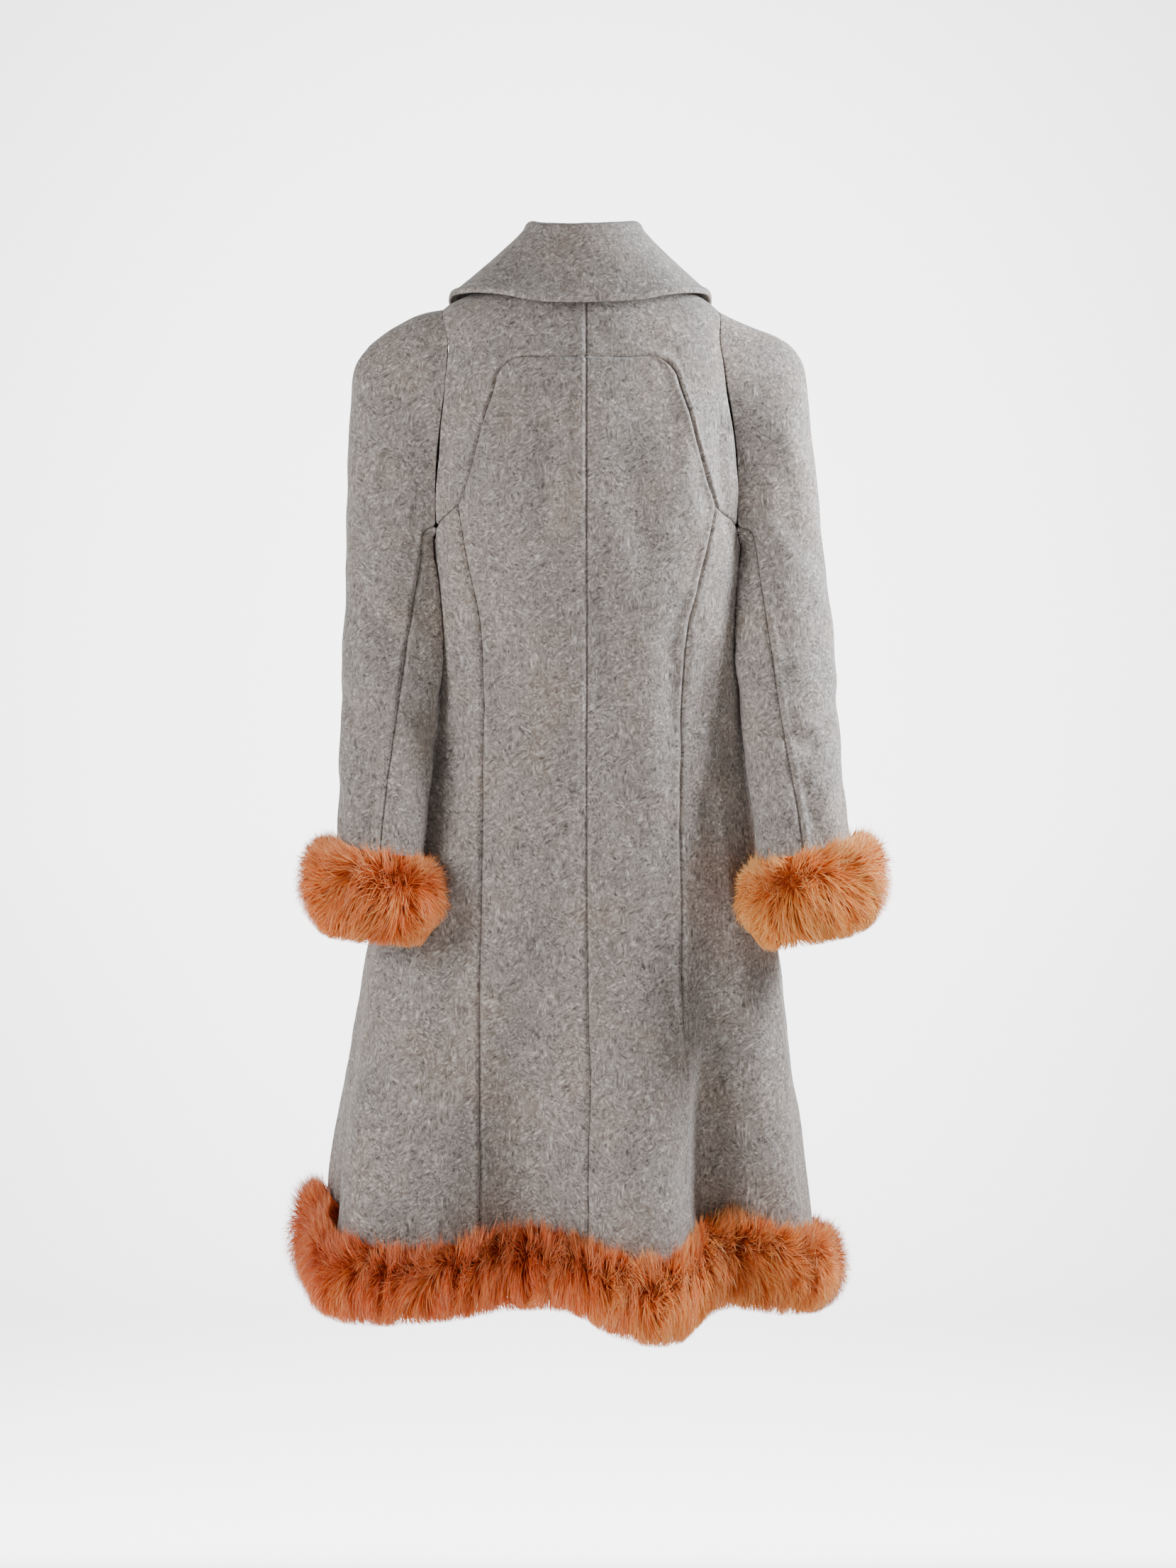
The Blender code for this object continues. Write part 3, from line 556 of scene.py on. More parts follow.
wool = new_material("melange_wool_coating")
place = node(wool, "TexCoord").outputs["Object"]
lying = [locks(wool, place, turned).outputs["Fac"]
         for turned in ((0, 0, 0), (62, 0, 35), (-58, 0, 80), (90, 0, 10))]
fleck = patches(wool, place, 0.017, patches(wool, place, 0.023, *lying[:2]),
                patches(wool, place, 0.014, *lying[2:]))
tuft = node(wool, "TexNoise", {"Vector": place, "Scale": 1 / 0.006, "Detail": 2.0,
                                       "Roughness": 0.6, "Distortion": 0.9}).outputs["Fac"]
mottle = node(wool, "TexNoise", {"Vector": place, "Scale": 1 / 0.06, "Detail": 2.0})
mixed = node(wool, "Mix", {"Factor": 0.3, "A": fleck, "B": tuft}, data_type="FLOAT")
mixed = node(wool, "Mix", {"Factor": 0.12, "A": mixed.outputs["Result"],
                                   "B": mottle.outputs["Fac"]}, data_type="FLOAT")
grey = node(wool, "ValToRGB", {"Fac": mixed.outputs["Result"]},
            stops=[(0.34, "#504A47"), (0.45, "#807974"), (0.54, "#9D9691"), (0.66, "#D2CDC9")])
brown = node(wool, "MapRange", {"Value": mottle.outputs["Fac"], "From Min": 0.42,
                                        "From Max": 0.68, "To Max": 0.5})
grey = node(wool, "MixRGB", {"Fac": brown.outputs["Result"], "Color1": grey.outputs["Color"],
                                     "Color2": colour("#E9D9CC")}, blend_type="MULTIPLY")
nap = node(wool, "Bump", {"Height": fleck, "Strength": 0.35, "Distance": 0.0014})
tufts = node(wool, "Bump", {"Height": tuft, "Strength": 0.2, "Distance": 0.003,
                                    "Normal": nap.outputs["Normal"]})
finish_material(wool, node(wool, "BsdfPrincipled", {
    "Base Color": grey.outputs["Color"], "Normal": tufts.outputs["Normal"], "Roughness": 0.95,
    "Specular IOR Level": 0.2, "Sheen Weight": 0.3, "Sheen Roughness": 0.6,
    "Sheen Tint": colour("#DAD8D6")}))


DROP_START, DROP_RUN = 64.0, 30.0


def body_face(grid, side, sewn, sunk=0.0):
    """A panel's outer points and normals, with its seams, its creases and its unevenness.

    It first sinks by sunk ease((start - x) / run), which puts the left front behind the right one.
    """
    turn = round_turn(grid[..., 0], side)
    points, normals = body(turn, grid[..., 1]), body_normal(turn, grid[..., 1])
    points = points - normals * sunk * ease((DROP_START - points[..., :1]) / DROP_RUN)
    lift = crease_lift(CREASES, turn, grid[..., 1], MM_A_DEGREE, BODY_WAVER)
    lift = lift + uneven(points) + seam_lift(points, sewn)
    return points + normals * lift[..., None], normals


# The yoke's faces are this wide and this tall in millimetres, along a line this tall from the top.
YOKE_ACROSS, YOKE_DOWN, YOKE_TALL, YOKE_COUNT = 4.2, 2.8, 78.0, 80
YOKE_CUT = (0.20, 0.26, 0.026)
for side, hand in HANDS:
    pressed = PRESSED if side == LEFT else PLAIN
    armhole, lower = armhole_line(ARMHOLE_BACK, side), yoke_line(side)
    upper = chain(neck_line(), shoulder_line(), armhole)
    across = even_shares(body(round_turn(lower[:, 0], side), lower[:, 1]), YOKE_ACROSS)
    down = even_shares(straight(np.zeros(3), np.array([0, 0, YOKE_TALL]), YOKE_COUNT), YOKE_DOWN)
    first = straight(upper[0], lower[0], YOKE_COUNT)
    last = straight(upper[-1], lower[-1], YOKE_COUNT)
    edges = [along(upper, across), along(lower, across), along(first, down), along(last, down)]
    grid = fill(*edges, across, down)
    seen = [body(round_turn(edge[:, 0], side), edge[:, 1])[:, [0, 2]] * [side, 1] for edge in edges]
    seen = fill(*seen, across, down)[1:-1, 1:-1]
    x, z = seen[..., 0], seen[..., 1]
    grid[1:-1, 1:-1] = on_upper_body(lambda level: turn_at(x, level, side, True), z, side)
    add_cloth(f"wool_yoke_{hand}", *body_face(grid, side, (PLAIN, PRESSED, pressed, PLAIN)),
              f"back_yoke_{hand}", YOKE_CUT, ["wool_collar"])


# The backs. Two long panels of the same coating, joined at the centre back, shaped at the waist by
# the princess seams and flared below it. Their seams are pressed open, which leaves a soft ridge.

SKIRT_STATIONS = [282, 322, 362, 402, 448, 500, 556, 618, 686, 756, 826, 888, 942, 975]
BACK_SEAM = [
    # level, left_x, right_x
    (225, 127, 127),
    (252, 122, 121),
    (287, 115, 113),
    (340, 106, 101),
    (393, 103, 96),
    (500, 103, 91),
    (610, 104, 91),
    (735, 106, 93),
    (860, 108, 99),
    (975, 110, 106),
]


def seam_line(table, start, side, back):
    """A seam of the lower body, from its start down to the hem, as turns and levels."""
    stations = [start[1]] + SKIRT_STATIONS
    steps = np.linspace(0, len(stations) - 1, (len(stations) - 1) * FINE + 1)
    level = np.interp(steps, np.arange(len(stations)), stations)
    x = smooth_rows(table, level)[..., 0 if side == LEFT else 1]
    line = np.stack([turn_at(x, level, side, back), level], -1)
    line[0] = start
    return line


def panel(top, hem, first, last, seam, side, face):
    """A panel between its four edges, its faces this wide along its hem and this tall along a seam."""
    across, down = [even_shares(body(round_turn(line[:, 0], side), line[:, 1]), step, sewn)
                    for line, step, sewn in zip((hem, seam), face, ((1, 1), (1, 0)))]
    return fill(along(top, across), along(hem, across), along(first, down), along(last, down),
                across, down)


BACK_CUT, BACK_FACE = (0.15, 0.925, 0.098), (4.4, 4.4)
for side, hand in HANDS:
    pressed, plain = (PRESSED, PLAIN) if side == LEFT else (PLAIN, PRESSED)
    yoke = yoke_line(side)
    top = yoke[: 8 * FINE + 1]
    princess = chain(yoke[8 * FINE:], seam_line(BACK_SEAM, yoke[-1], side, True))
    centre = np.stack([np.full(len(princess), CENTRE_BACK), princess[:, 1]], -1)
    centre[0] = top[0]
    hem = straight(centre[-1], princess[-1], 8 * FINE)
    grid = panel(top, hem, centre, princess, princess, side, BACK_FACE)
    add_cloth(f"wool_back_{hand}", *body_face(grid, side, (PLAIN, 0, pressed, plain)),
              f"back_{hand}", BACK_CUT, [f"wool_yoke_{hand}"])


# The side panels. Each runs from the back princess seam under the arm to the front seam, in one
# piece of the same coating, and carries the side folds of the skirt.

FRONT_SEAM = [
    # level, left_x, right_x
    (246, 149, 148),
    (282, 137, 136),
    (320, 126, 124),
    (393, 110, 108),
    (500, 116, 110),
    (610, 126, 117),
    (790, 140, 130),
    (975, 154, 144),
]


def underarm_line(start, end):
    """The armhole's lower edge, half an ellipse from its back edge to its front one."""
    t = np.linspace(0, 1, 14 * FINE + 1)
    line = start + (end - start) * (0.5 - 0.5 * np.cos(np.pi * t))[:, None]
    line[:, 1] += (UNDERARM_LEVEL - (start[1] + end[1]) / 2) * np.sin(np.pi * t)
    return line


SIDE_CUT, SIDE_FACE = (0.46, 0.76, 0.211), (6.2, 5.2)
for side, hand in HANDS:
    pressed = PRESSED if side == LEFT else PLAIN
    yoke_end, armhole_end = yoke_line(side)[-1], armhole_line(ARMHOLE_BACK, side)[-1]
    front_end = armhole_line(ARMHOLE_FRONT, side)[-1]
    top = chain(straight(yoke_end, armhole_end, 2 * FINE), underarm_line(armhole_end, front_end))
    behind = seam_line(BACK_SEAM, yoke_end, side, True)
    before = seam_line(FRONT_SEAM, front_end, side, False)
    hem = straight(behind[-1], before[-1], len(top) - 1)
    grid = panel(top, hem, behind, before, behind, side, SIDE_FACE)
    add_cloth(f"wool_side_{hand}", *body_face(grid, side, (PLAIN, 0, pressed, PLAIN)),
              f"side_{hand}", SIDE_CUT, [f"wool_back_{hand}"])


# The fronts. Plain panels of the same coating. Each runs past the centre line, so that the right
# one laps over the left one and buttons there, and both have turned edges.

OVERLAP = 25.0
UNDER_DROP = 3.6
FRONT_CUT, FRONT_FACE = (0.225, 1.075, 0.163), (6.5, 6.5)
for side, hand in HANDS:
    armhole = armhole_line(ARMHOLE_FRONT, side)
    seam = chain(shoulder_line(), armhole, seam_line(FRONT_SEAM, armhole[-1], side, False))
    edge = np.stack([-180 - turn_at(OVERLAP, seam[:, 1], -side, False), seam[:, 1]], -1)
    neck, hem = straight(seam[0], edge[0], 12 * FINE), straight(seam[-1], edge[-1], 12 * FINE)
    grid = panel(neck, hem, seam, edge, seam, side, FRONT_FACE)
    sunk = UNDER_DROP if side == LEFT else 0
    add_cloth(f"wool_front_{hand}", *body_face(grid, side, (0, 0, PLAIN, PLAIN), sunk),
              f"front_{hand}", FRONT_CUT, [f"wool_yoke_{hand}"])


# The sleeves. Each is a top and an under piece, set into the armhole with a little fullness at its
# crown, and curved forward at the elbow. They hang just clear of the body.

CROWN = [
    # step, left_out, right_out, left_down, right_down
    (0, 0, 0, 0, 0),
    (1, 0.19, 0.16, 0.012, 0.034),
    (2, 0.42, 0.36, 0.052, 0.073),
    (3, 0.64, 0.56, 0.098, 0.112),
    (4, 0.82, 0.72, 0.16, 0.168),
    (5, 0.94, 0.83, 0.27, 0.27),
    (6, 1.0, 0.91, 0.60, 0.56),
    (7, 1.0, 1.0, 1.0, 1.0),
]
SLEEVE_RINGS = [
    # depth, left_x, left_half, right_x, right_half, centre_y, half_depth, left_tip, right_tip
    (275, 190, 49.5, 191.5, 45, 8, 52, 0, 0),
    (350, 194.0, 50.0, 197.0, 49.5, 20, 48.5, 1, 2),
    (428, 197.2, 47.8, 201, 48.5, 36, 45.5, 3, 4),
    (535, 202.5, 44.5, 212, 45.5, 64, 41.5, 5, 9),
    (636, 206, 44, 219, 46, 84, 40, 7, 12),
    (680, 207, 44, 222, 46, 92, 40, 7, 12),
]
SLEEVE_SEAMS = [
    # depth, back_seam, front_seam
    (275, 123, 234),
    (350, 112, 236),
    (428, 104, 238),
    (636, 90, 240),
]
SLEEVE_TOP, SLEEVE_END = 275.0, 636.0
CROWN_ROWS, TUBE_ROWS = 57, 82
ARM_CLEARANCE = [
    # depth, clearance
    (275, 1.8),
    (390, 2.5),
    (485, 2.5),
    (552, 8.0),
    (680, 8.0),
]
SLEEVE_START_IN, SLEEVE_START_OUT = 0.2, 0.1
CLEARING_STARTS = (228.0, 245.0)
CROWN_CLEARANCE = 0.7
SLEEVE_CREASES = [
    # side, turn, level, end_turn, end_level, half_width, depth
    (LEFT, 30, 275, 102, 372, 9, -4.0),
    (LEFT, 45, 345, 95, 415, 12, 3.0),
    (LEFT, 140, 240, 150, 440, 16, 7.0),
    (RIGHT, 20, 330, 108, 375, 10, -3.6),
    (RIGHT, 146, 240, 150, 420, 15, 7.0),
    (0, 352, 402, 70, 440, 11, -3.6),
    (0, 60, 465, 125, 440, 10, -3.4),
    (0, 330, 300, 300, 390, 14, -3.2),
    (0, 275, 350, 232, 410, 12, -3.2),
    (0, 280, 440, 236, 455, 12, -3.0),
    (0, 80, 140, 60, 270, 13, -3.4),
    (0, 125, 150, 105, 280, 12, 2.6),
    (0, 300, 150, 315, 250, 14, -2.6),
    (0, 35, 170, 30, 310, 14, 3.0),
    (0, 95, 470, 92, 560, 11, -3.0),
    (0, 130, 430, 126, 560, 11, 3.0),
    (0, 20, 480, 25, 560, 14, -3.0),
    (0, 60, 480, 62, 560, 12, 2.4),
]
SLEEVE_MM_A_DEGREE, SLEEVE_WAVER, SLEEVE_CLEARANCE, SLEEVE_FACE_TALL = 0.82, 3.0, 1.7, 4.4


def clear_of_body(points, clearance):
    """Points moved straight away from the body's axis where they would come too near its side.

    It comes in smoothly just above the underarm, since a sleeve's crown starts on the body itself.
    """
    high, low = CLEARING_STARTS
    level = np.maximum(-points[..., 2], low)
    _, _, left, right, back, front, centre_y, squareness = columns_at(RINGS, level)
    x, y = points[..., 0], points[..., 1] - centre_y
    width = np.where(x > 0, left, right) + clearance
    depth = np.where(y > 0, back, front) + clearance
    reach = (np.abs(x / width) ** squareness + np.abs(y / depth) ** squareness) ** (1 / squareness)
    grow = 1 + (1 / np.minimum(reach, 1) - 1) * ease((-points[..., 2] - high) / (low - high))
    return np.stack([x * grow, centre_y + y * grow, points[..., 2]], -1)


def sleeve_surface(turn, depth, side, out=0.0, lean=0.0, rise=0.0):
    """A point of a sleeve's tube at a turn round it and a depth, moved out of its surface.

    It is centre + (half + out) cos, centre + (half depth + out) sin, with the height tipped along
    x. The lean moves more of it to the outer side, and the rise lifts the inner side.
    """
    (left_x, left_half, right_x, right_half, centre_y, half_depth, left_tip,
     right_tip) = columns_at(SLEEVE_RINGS, depth)
    centre_x, half = (left_x, left_half) if side == LEFT else (right_x, right_half)
    slope = np.tan(np.radians(left_tip if side == LEFT else right_tip))
    across, behind = np.cos(np.radians(turn)), np.sin(np.radians(turn))
    stand = out * (1 + lean * across)
    x, y = (half + stand) * across, (half_depth + stand) * behind
    high = rise * (0.5 - 0.5 * across) ** 2
    return np.stack([side * (centre_x + x), centre_y + y, x * slope - depth + high], -1)


def sleeve_turns(depth):
    """The turns of the lines that run down a sleeve at this depth, from its top by the back."""
    back, front = smooth_rows(SLEEVE_SEAMS, np.clip(depth, SLEEVE_TOP, SLEEVE_END))
    return chain(np.linspace(0, back, 8 * FINE + 1), np.linspace(back, front, 14 * FINE + 1),
                 np.linspace(front, 360, 8 * FINE + 1))


def sleeve_start(side):
    """The first ring of a sleeve, on the armhole's edge, a little inside it and outside the body."""
    back, front = armhole_line(ARMHOLE_BACK, side), armhole_line(ARMHOLE_FRONT, side)
    loop = chain(back, underarm_line(back[-1], front[-1]), front[::-1])
    turn = round_turn(loop[:, 0], side)
    edge, normals = body(turn, loop[:, 1]), body_normal(turn, loop[:, 1])
    run = np.roll(edge[:-1], -1, axis=0) - np.roll(edge[:-1], 1, axis=0)
    inward = np.cross(normals, np.concatenate([run, run[:1]]))
    return edge - side * unit(inward) * SLEEVE_START_IN + normals * SLEEVE_START_OUT


def sleeve_points(side):
    """A whole sleeve: rows down its crown and its tube, columns round it."""
    start = sleeve_start(side)
    tube_clearance, last_step = ARM_CLEARANCE[0][1], CROWN[-1][0]
    first = sleeve_surface(sleeve_turns(SLEEVE_TOP), SLEEVE_TOP, side)
    first = clear_of_body(first, tube_clearance)
    rows = []
    for step in np.linspace(0, last_step, CROWN_ROWS)[:-1]:
        shares = smooth_rows(CROWN, step)
        out, down = shares[[0, 2]] if side == LEFT else shares[[1, 3]]
        clearance = CROWN_CLEARANCE + (tube_clearance - CROWN_CLEARANCE) * step / last_step
        rows.append(clear_of_body(start + (first - start) * np.array([out, out, down]), clearance))
    rows[0] = start
    for depth in np.linspace(SLEEVE_TOP, SLEEVE_END, TUBE_ROWS):
        ring_points = sleeve_surface(sleeve_turns(depth), depth, side)
        rows.append(clear_of_body(ring_points, smooth_rows(ARM_CLEARANCE, depth)[0]))
    return np.array(rows)


def tube_normals(points):
    """Normals of a tube whose last column repeats its first: down x around, turned outwards."""
    around = np.roll(points[:, :-1], -1, axis=1) - np.roll(points[:, :-1], 1, axis=1)
    around = np.concatenate([around, around[:, :1]], axis=1)
    normals = unit(np.cross(np.gradient(points, axis=0), around))
    middle = points[:, :-1].mean(axis=1, keepdims=True)
    return normals * np.sign(np.sum(normals * (points - middle)))


def within_half_turn(away):
    """A difference of turns by the shorter way round, from -180 to 180."""
    return (away + 180) % 360 - 180


def resampled(grid, down, across):
    """A grid of rows of values read at shares down it, then at shares across it."""
    rows = along(grid.reshape(len(grid), -1), down).reshape(len(down), *grid.shape[1:])
    columns = np.moveaxis(rows, 1, 0)
    read = along(columns.reshape(len(columns), -1), across)
    return np.moveaxis(read.reshape(len(across), *columns.shape[1:]), 0, 1)


def sleeve_piece(points, normals, turns, step, side):
    """The outer points and normals of one piece of a sleeve, with its seams and soft creases."""
    down = even_shares(points[:, points.shape[1] // 2], SLEEVE_FACE_TALL, (1, 0))
    across = even_shares(points[points.shape[0] // 2], step)
    face, out = resampled(points, down, across), unit(resampled(normals, down, across))
    turn = resampled(turns[..., None], down, across)[..., 0]
    creases = [row[1:] for row in SLEEVE_CREASES if row[0] in (0, side)]
    lift = crease_lift(creases, turn, -face[..., 2], SLEEVE_MM_A_DEGREE, SLEEVE_WAVER, within_half_turn)
    lift += uneven(face)
    lift += seam_lift(face, (0, 0, PLAIN, PRESSED))
    return clear_of_body(face + out * lift[..., None], SLEEVE_CLEARANCE), out


TOP_CUT, UNDER_CUT = (0.235, 0.67, 0.121), (0.113, 0.42, 0.040)
TOP_WIDE, UNDER_WIDE, SEAM_DEPTH = 3.3, 4.6, 400.0
UNDER_FIRST, UNDER_LAST, COLUMNS = 8 * FINE, 22 * FINE, 30 * FINE
for side, hand in HANDS:
    points = sleeve_points(side)
    normals = tube_normals(points)
    under = np.arange(UNDER_FIRST, UNDER_LAST + 1)
    top = np.arange(UNDER_LAST, COLUMNS + UNDER_FIRST + 1)
    for piece, chosen, step, cut in (("top", top, TOP_WIDE, TOP_CUT),
                                     ("under", under, UNDER_WIDE, UNDER_CUT)):
        turn = sleeve_turns(SEAM_DEPTH)[chosen % COLUMNS] + 360 * (chosen // COLUMNS)
        face, out = sleeve_piece(points[:, chosen % COLUMNS], normals[:, chosen % COLUMNS],
                                 turn + 0 * points[:, :1, 0], step, side)
        add_cloth(f"wool_sleeve_{piece}_{hand}", face, out, f"sleeve_{piece}_{hand}", cut,
                  [f"wool_side_{hand}"])


# The collar. One piece of the same coating, doubled and turned, whose stand rises from the neck and
# whose fall spreads flat over the shoulders. Its edge is soft and rolled, and shades the yoke below.

COLLAR = [
    # turn, lean_in, roll_height, roll_radius, left_x, right_x, edge_y, edge_z, bow
    (-84, 0, 15, 4.5, 84, 82, -124, -150, 0.02),
    (-63, 4, 21, 5.5, 103, 98, -111, -117, 0.02),
    (-42, 10, 30, 6.5, 119, 111, -88, -74, 0.01),
    (-21, 16, 40, 6.5, 132, 121, -47, -34, -0.02),
    (0, 20, 45, 6.5, 137, 124, 4, -17, -0.05),
    (22.5, 18, 46, 6.5, 123, 112, 52, -17, -0.05),
    (45, 12, 48, 7, 91, 85, 84, -22, -0.02),
    (67.5, 7, 51, 7, 46, 45, 96, -30, 0.01),
    (90, 5, 53, 7, 0, 0, 99, -32, 0.02),
]
COLLAR_GAP, COLLAR_WALL, COLLAR_CLOTH = 0.8, 3.5, 3.2
COLLAR_START, FALL_FLAT = -83.0, 0.3
COLLAR_ROWS, STAND_POINTS, ROLL_POINTS, FALL_POINTS, FALL_COLUMN = 141, 17, 25, 49, 60
COLLAR_TALL, COLLAR_WIDE, COLLAR_UNEVEN = 4.6, 3.6, 0.6
COLLAR_CUT = (0.16, 0.78, 0.0745)


def collar_half(side):
    """Points under half the collar: rows along the neck from the front, columns over the roll.

    The roll is an arc, and the fall a curve (1 - t)^2 a + 2 t (1 - t) b + t^2 c to the edge.
    """
    turn = np.linspace(COLLAR_START, CENTRE_BACK, COLLAR_ROWS)
    lean, height, radius, left_x, right_x, edge_y, edge_z, bow = (
        row[:, None, None] for row in columns_at(COLLAR, turn))
    round_it = round_turn(turn, side)
    up = unit(body(round_it, NECK_LEVEL) - body(round_it, NECK_LEVEL + 2))
    root = (body(round_it, NECK_LEVEL) + up * COLLAR_GAP)[:, None]
    edge = np.concatenate([side * (left_x if side == LEFT else right_x), edge_y, edge_z], axis=2)
    away = unit((edge - root) * [1, 1, 0])
    upward = np.array([0, 0, 1.0])
    top = root - away * lean + height * upward
    middle = top - radius * upward
    share = np.linspace(0, 1, STAND_POINTS)[:, None]
    stand = root + (middle - away * radius - root) * share
    angle = np.linspace(0, np.pi, ROLL_POINTS)[1:, None]
    arc = middle + radius * (upward * np.sin(angle) - away * np.cos(angle))
    begin = arc[:, -1:]
    drop = np.linalg.norm(edge - begin, axis=2, keepdims=True)
    bend = begin + (edge - begin) * FALL_FLAT + away * drop * bow
    t = np.linspace(0, 1, FALL_POINTS)[1:, None]
    fall = (1 - t) ** 2 * begin + 2 * t * (1 - t) * bend + t**2 * edge
    return np.concatenate([stand, arc, fall], axis=1)


points = np.concatenate([collar_half(LEFT), collar_half(RIGHT)[::-1][1:]])
normals = -unit(np.cross(np.gradient(points, axis=0), np.gradient(points, axis=1)))
points = points + normals * COLLAR_WALL
down = even_shares(points[:, FALL_COLUMN], COLLAR_TALL)
across = even_shares(points[len(points) // 2], COLLAR_WIDE, (0, 1))
points, normals = resampled(points, down, across), unit(resampled(normals, down, across))
lift = COLLAR_UNEVEN * uneven(points) + seam_lift(points, (PRESSED, PRESSED, 0, PRESSED))
add_cloth("wool_collar", points + normals * lift[..., None], normals, "collar", COLLAR_CUT,
          ["wool_yoke_left", "wool_yoke_right"], COLLAR_CLOTH)


# The buttons. Turned horn with a shank, which the solids already show, so they only take a better
# material: smooth mottled grey horn that shines softly.

grey_horn = new_material("polished_grey_horn")
place = node(grey_horn, "TexCoord").outputs["Object"]
cloud = node(grey_horn, "TexNoise", {"Vector": place, "Scale": 1 / 0.012, "Detail": 3.0,
                                     "Distortion": 1.2})
horn = node(grey_horn, "ValToRGB", {"Fac": cloud.outputs["Fac"]},
            stops=[(0.3, "#4A4541"), (0.5, "#6B6560"), (0.7, "#8C857E")])
finish_material(grey_horn, node(grey_horn, "BsdfPrincipled", {
    "Base Color": horn.outputs["Color"], "Roughness": 0.32, "Coat Weight": 0.2}))
for number in range(1, 6):
    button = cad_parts[f"button_{number}"]
    button.data.materials.clear()
    button.data.materials.append(grey_horn)


# The fur. Long-haired dyed fox on a pelt strip, combed apart along a line near its top, so that the
# hair above it sweeps up over the cloth and the hair below it falls. It is sewn to the cuffs and hem.

FUR_SEED = 7
# A tuft runs this far along a roll, with this many to a row of the table. Its tips gather to its
# middle by a share between these two, and less in the loose rows.
TUFT, TUFTS_A_ROW = 9.0, 1.3
GATHER, LOOSE_ROW, LOOSE = (0.1, 0.45), 5, 0.4
# The hair parts at this row of its table of eleven, and its skin sits just off the cloth.
PARTING, LAST_ROW, SEAT = 2.9, 10, 0.6
SCATTER_RUN, SCATTER_ROWS = 3.5, 0.4
WHORL_SWEEP, WHORL_WIDTH = 13.0, 14.0
STRAY_MEAN, STRAY_MOST = 3.0, 12.0
# Four tones of a hair: its root, dull and bright for its middle, and its tip.
RED_DYE = ("#C43C14", "#D44A16", "#EE7232", "#FFC29C")
GOLDEN_DYE = ("#CC4E1C", "#F0822E", "#FFBE62", "#FFE2AC")
# Painted shade in the parting, where one looks into the fur's depth: how much red, green and blue go
# there, and how far from it, in rows.
PARTING_SHADE, PARTING_SHADE_ROWS = (0.2, 0.4, 0.45), 0.6


def wave(values, length, seed):
    """Smooth waves from -1 to 1, about a length apart, with each sine shifted at random.

    With a = 2 pi values / length, it is (sin a + 0.7 sin 1.7 a + 0.5 sin 2.9 a) / 2.2.
    """
    shift = np.random.default_rng(seed).uniform(0, 6.28, 3)
    scale = 2 * np.pi / length
    return (np.sin(values * scale + shift[0]) + 0.7 * np.sin(values * scale * 1.7 + shift[1])
            + 0.5 * np.sin(values * scale * 2.9 + shift[2])) / 2.2


def hair_places(count, length, seed, whorl=None):
    """Random places along a roll and across its table, with the places where their tips gather.

    A tuft's middle is a random place in its cell, and a tip goes part of the way to it. Long and
    short waves sweep the tips sideways by up to 13 and 8 mm and shift the parting by up to 0.8 and
    0.5 rows. From a whorl, the tips also sweep away to both sides.
    """
    pick = np.random.default_rng(seed)
    run, station = pick.uniform(0, length, count), pick.uniform(0, LAST_ROW, count)
    cells = np.stack([run // TUFT, station * TUFTS_A_ROW // 1], -1).astype(int)
    jitter = pick.uniform(0.1, 0.9, (int(length // TUFT) + 1, 20, 2))
    middle = (cells + jitter[cells[:, 0], cells[:, 1]]) * [TUFT, 1 / TUFTS_A_ROW]
    gather = pick.uniform(*GATHER, count) * np.where(station < LOOSE_ROW, 1.0, LOOSE)
    tip_run = run + (middle[:, 0] - run) * gather + pick.normal(0, SCATTER_RUN, count)
    tip_run = tip_run + 13 * wave(run + 9 * station, 80, seed + 1) + 8 * wave(run, 24, seed + 2)
    if whorl:
        tip_run = tip_run + WHORL_SWEEP * np.tanh((run - whorl) / WHORL_WIDTH)
    parted = 0.8 * wave(run, 70, seed + 3) + 0.5 * wave(run, 19, seed + 4)
    tip_station = station + parted + (middle[:, 1] - station) * gather
    tip_station = tip_station + pick.normal(0, SCATTER_ROWS, count)
    return run, station, tip_run, np.clip(tip_station, 0, LAST_ROW)


def strays(station, pick):
    """How much higher the tips above the parting reach over the cloth: few of them far."""
    far = np.clip(pick.exponential(STRAY_MEAN, len(station)), 0, STRAY_MOST)
    return far * (station < PARTING)


def combed(table, surface, turns, girth, count, seed, varies, whorl=None):
    """Places of a roll's hairs, their turns, and their roots, lifted middles and tips as points.

    The girth is the run at each of the turns. The surface gives a point at a turn, a height and a
    distance out, which varies by a random spread and by a wave of this length and seed.
    """
    run, station, tip_run, tip_station = hair_places(count, girth[-1], seed, whorl)
    at = [np.interp(place % girth[-1], girth, turns) for place in (run, (run + tip_run) / 2, tip_run)]
    pick = np.random.default_rng(FUR_SEED)
    spread, length, wave_seed = varies
    reach = 1 + pick.normal(0, spread, count) + 0.08 * wave(run + 31 * station, length, wave_seed)
    ends = []
    for stage, places in enumerate((station, station, tip_station)):
        down, out = columns_at(table, places)[2 * stage:2 * stage + 2]
        ends.append(surface(at[stage], down, out * reach if stage else out))
    ends[2][:, 2] += strays(station, pick)
    return run, station, at[0], ends


HAIR_AT, HAIR_WIDTHS = (0, 0.34, 0.68, 1.0), (0.5, 0.4, 0.18)
TWIST, WIDTH_SPREAD = 0.45, (0.7, 1.35)
# A hair's seven points in its own cell of the flat layout.
HAIR_IN_CELL = ((0.2, 0.1), (0.8, 0.1), (0.2, 0.37), (0.8, 0.37), (0.2, 0.63), (0.8, 0.63), (0.5, 0.9))


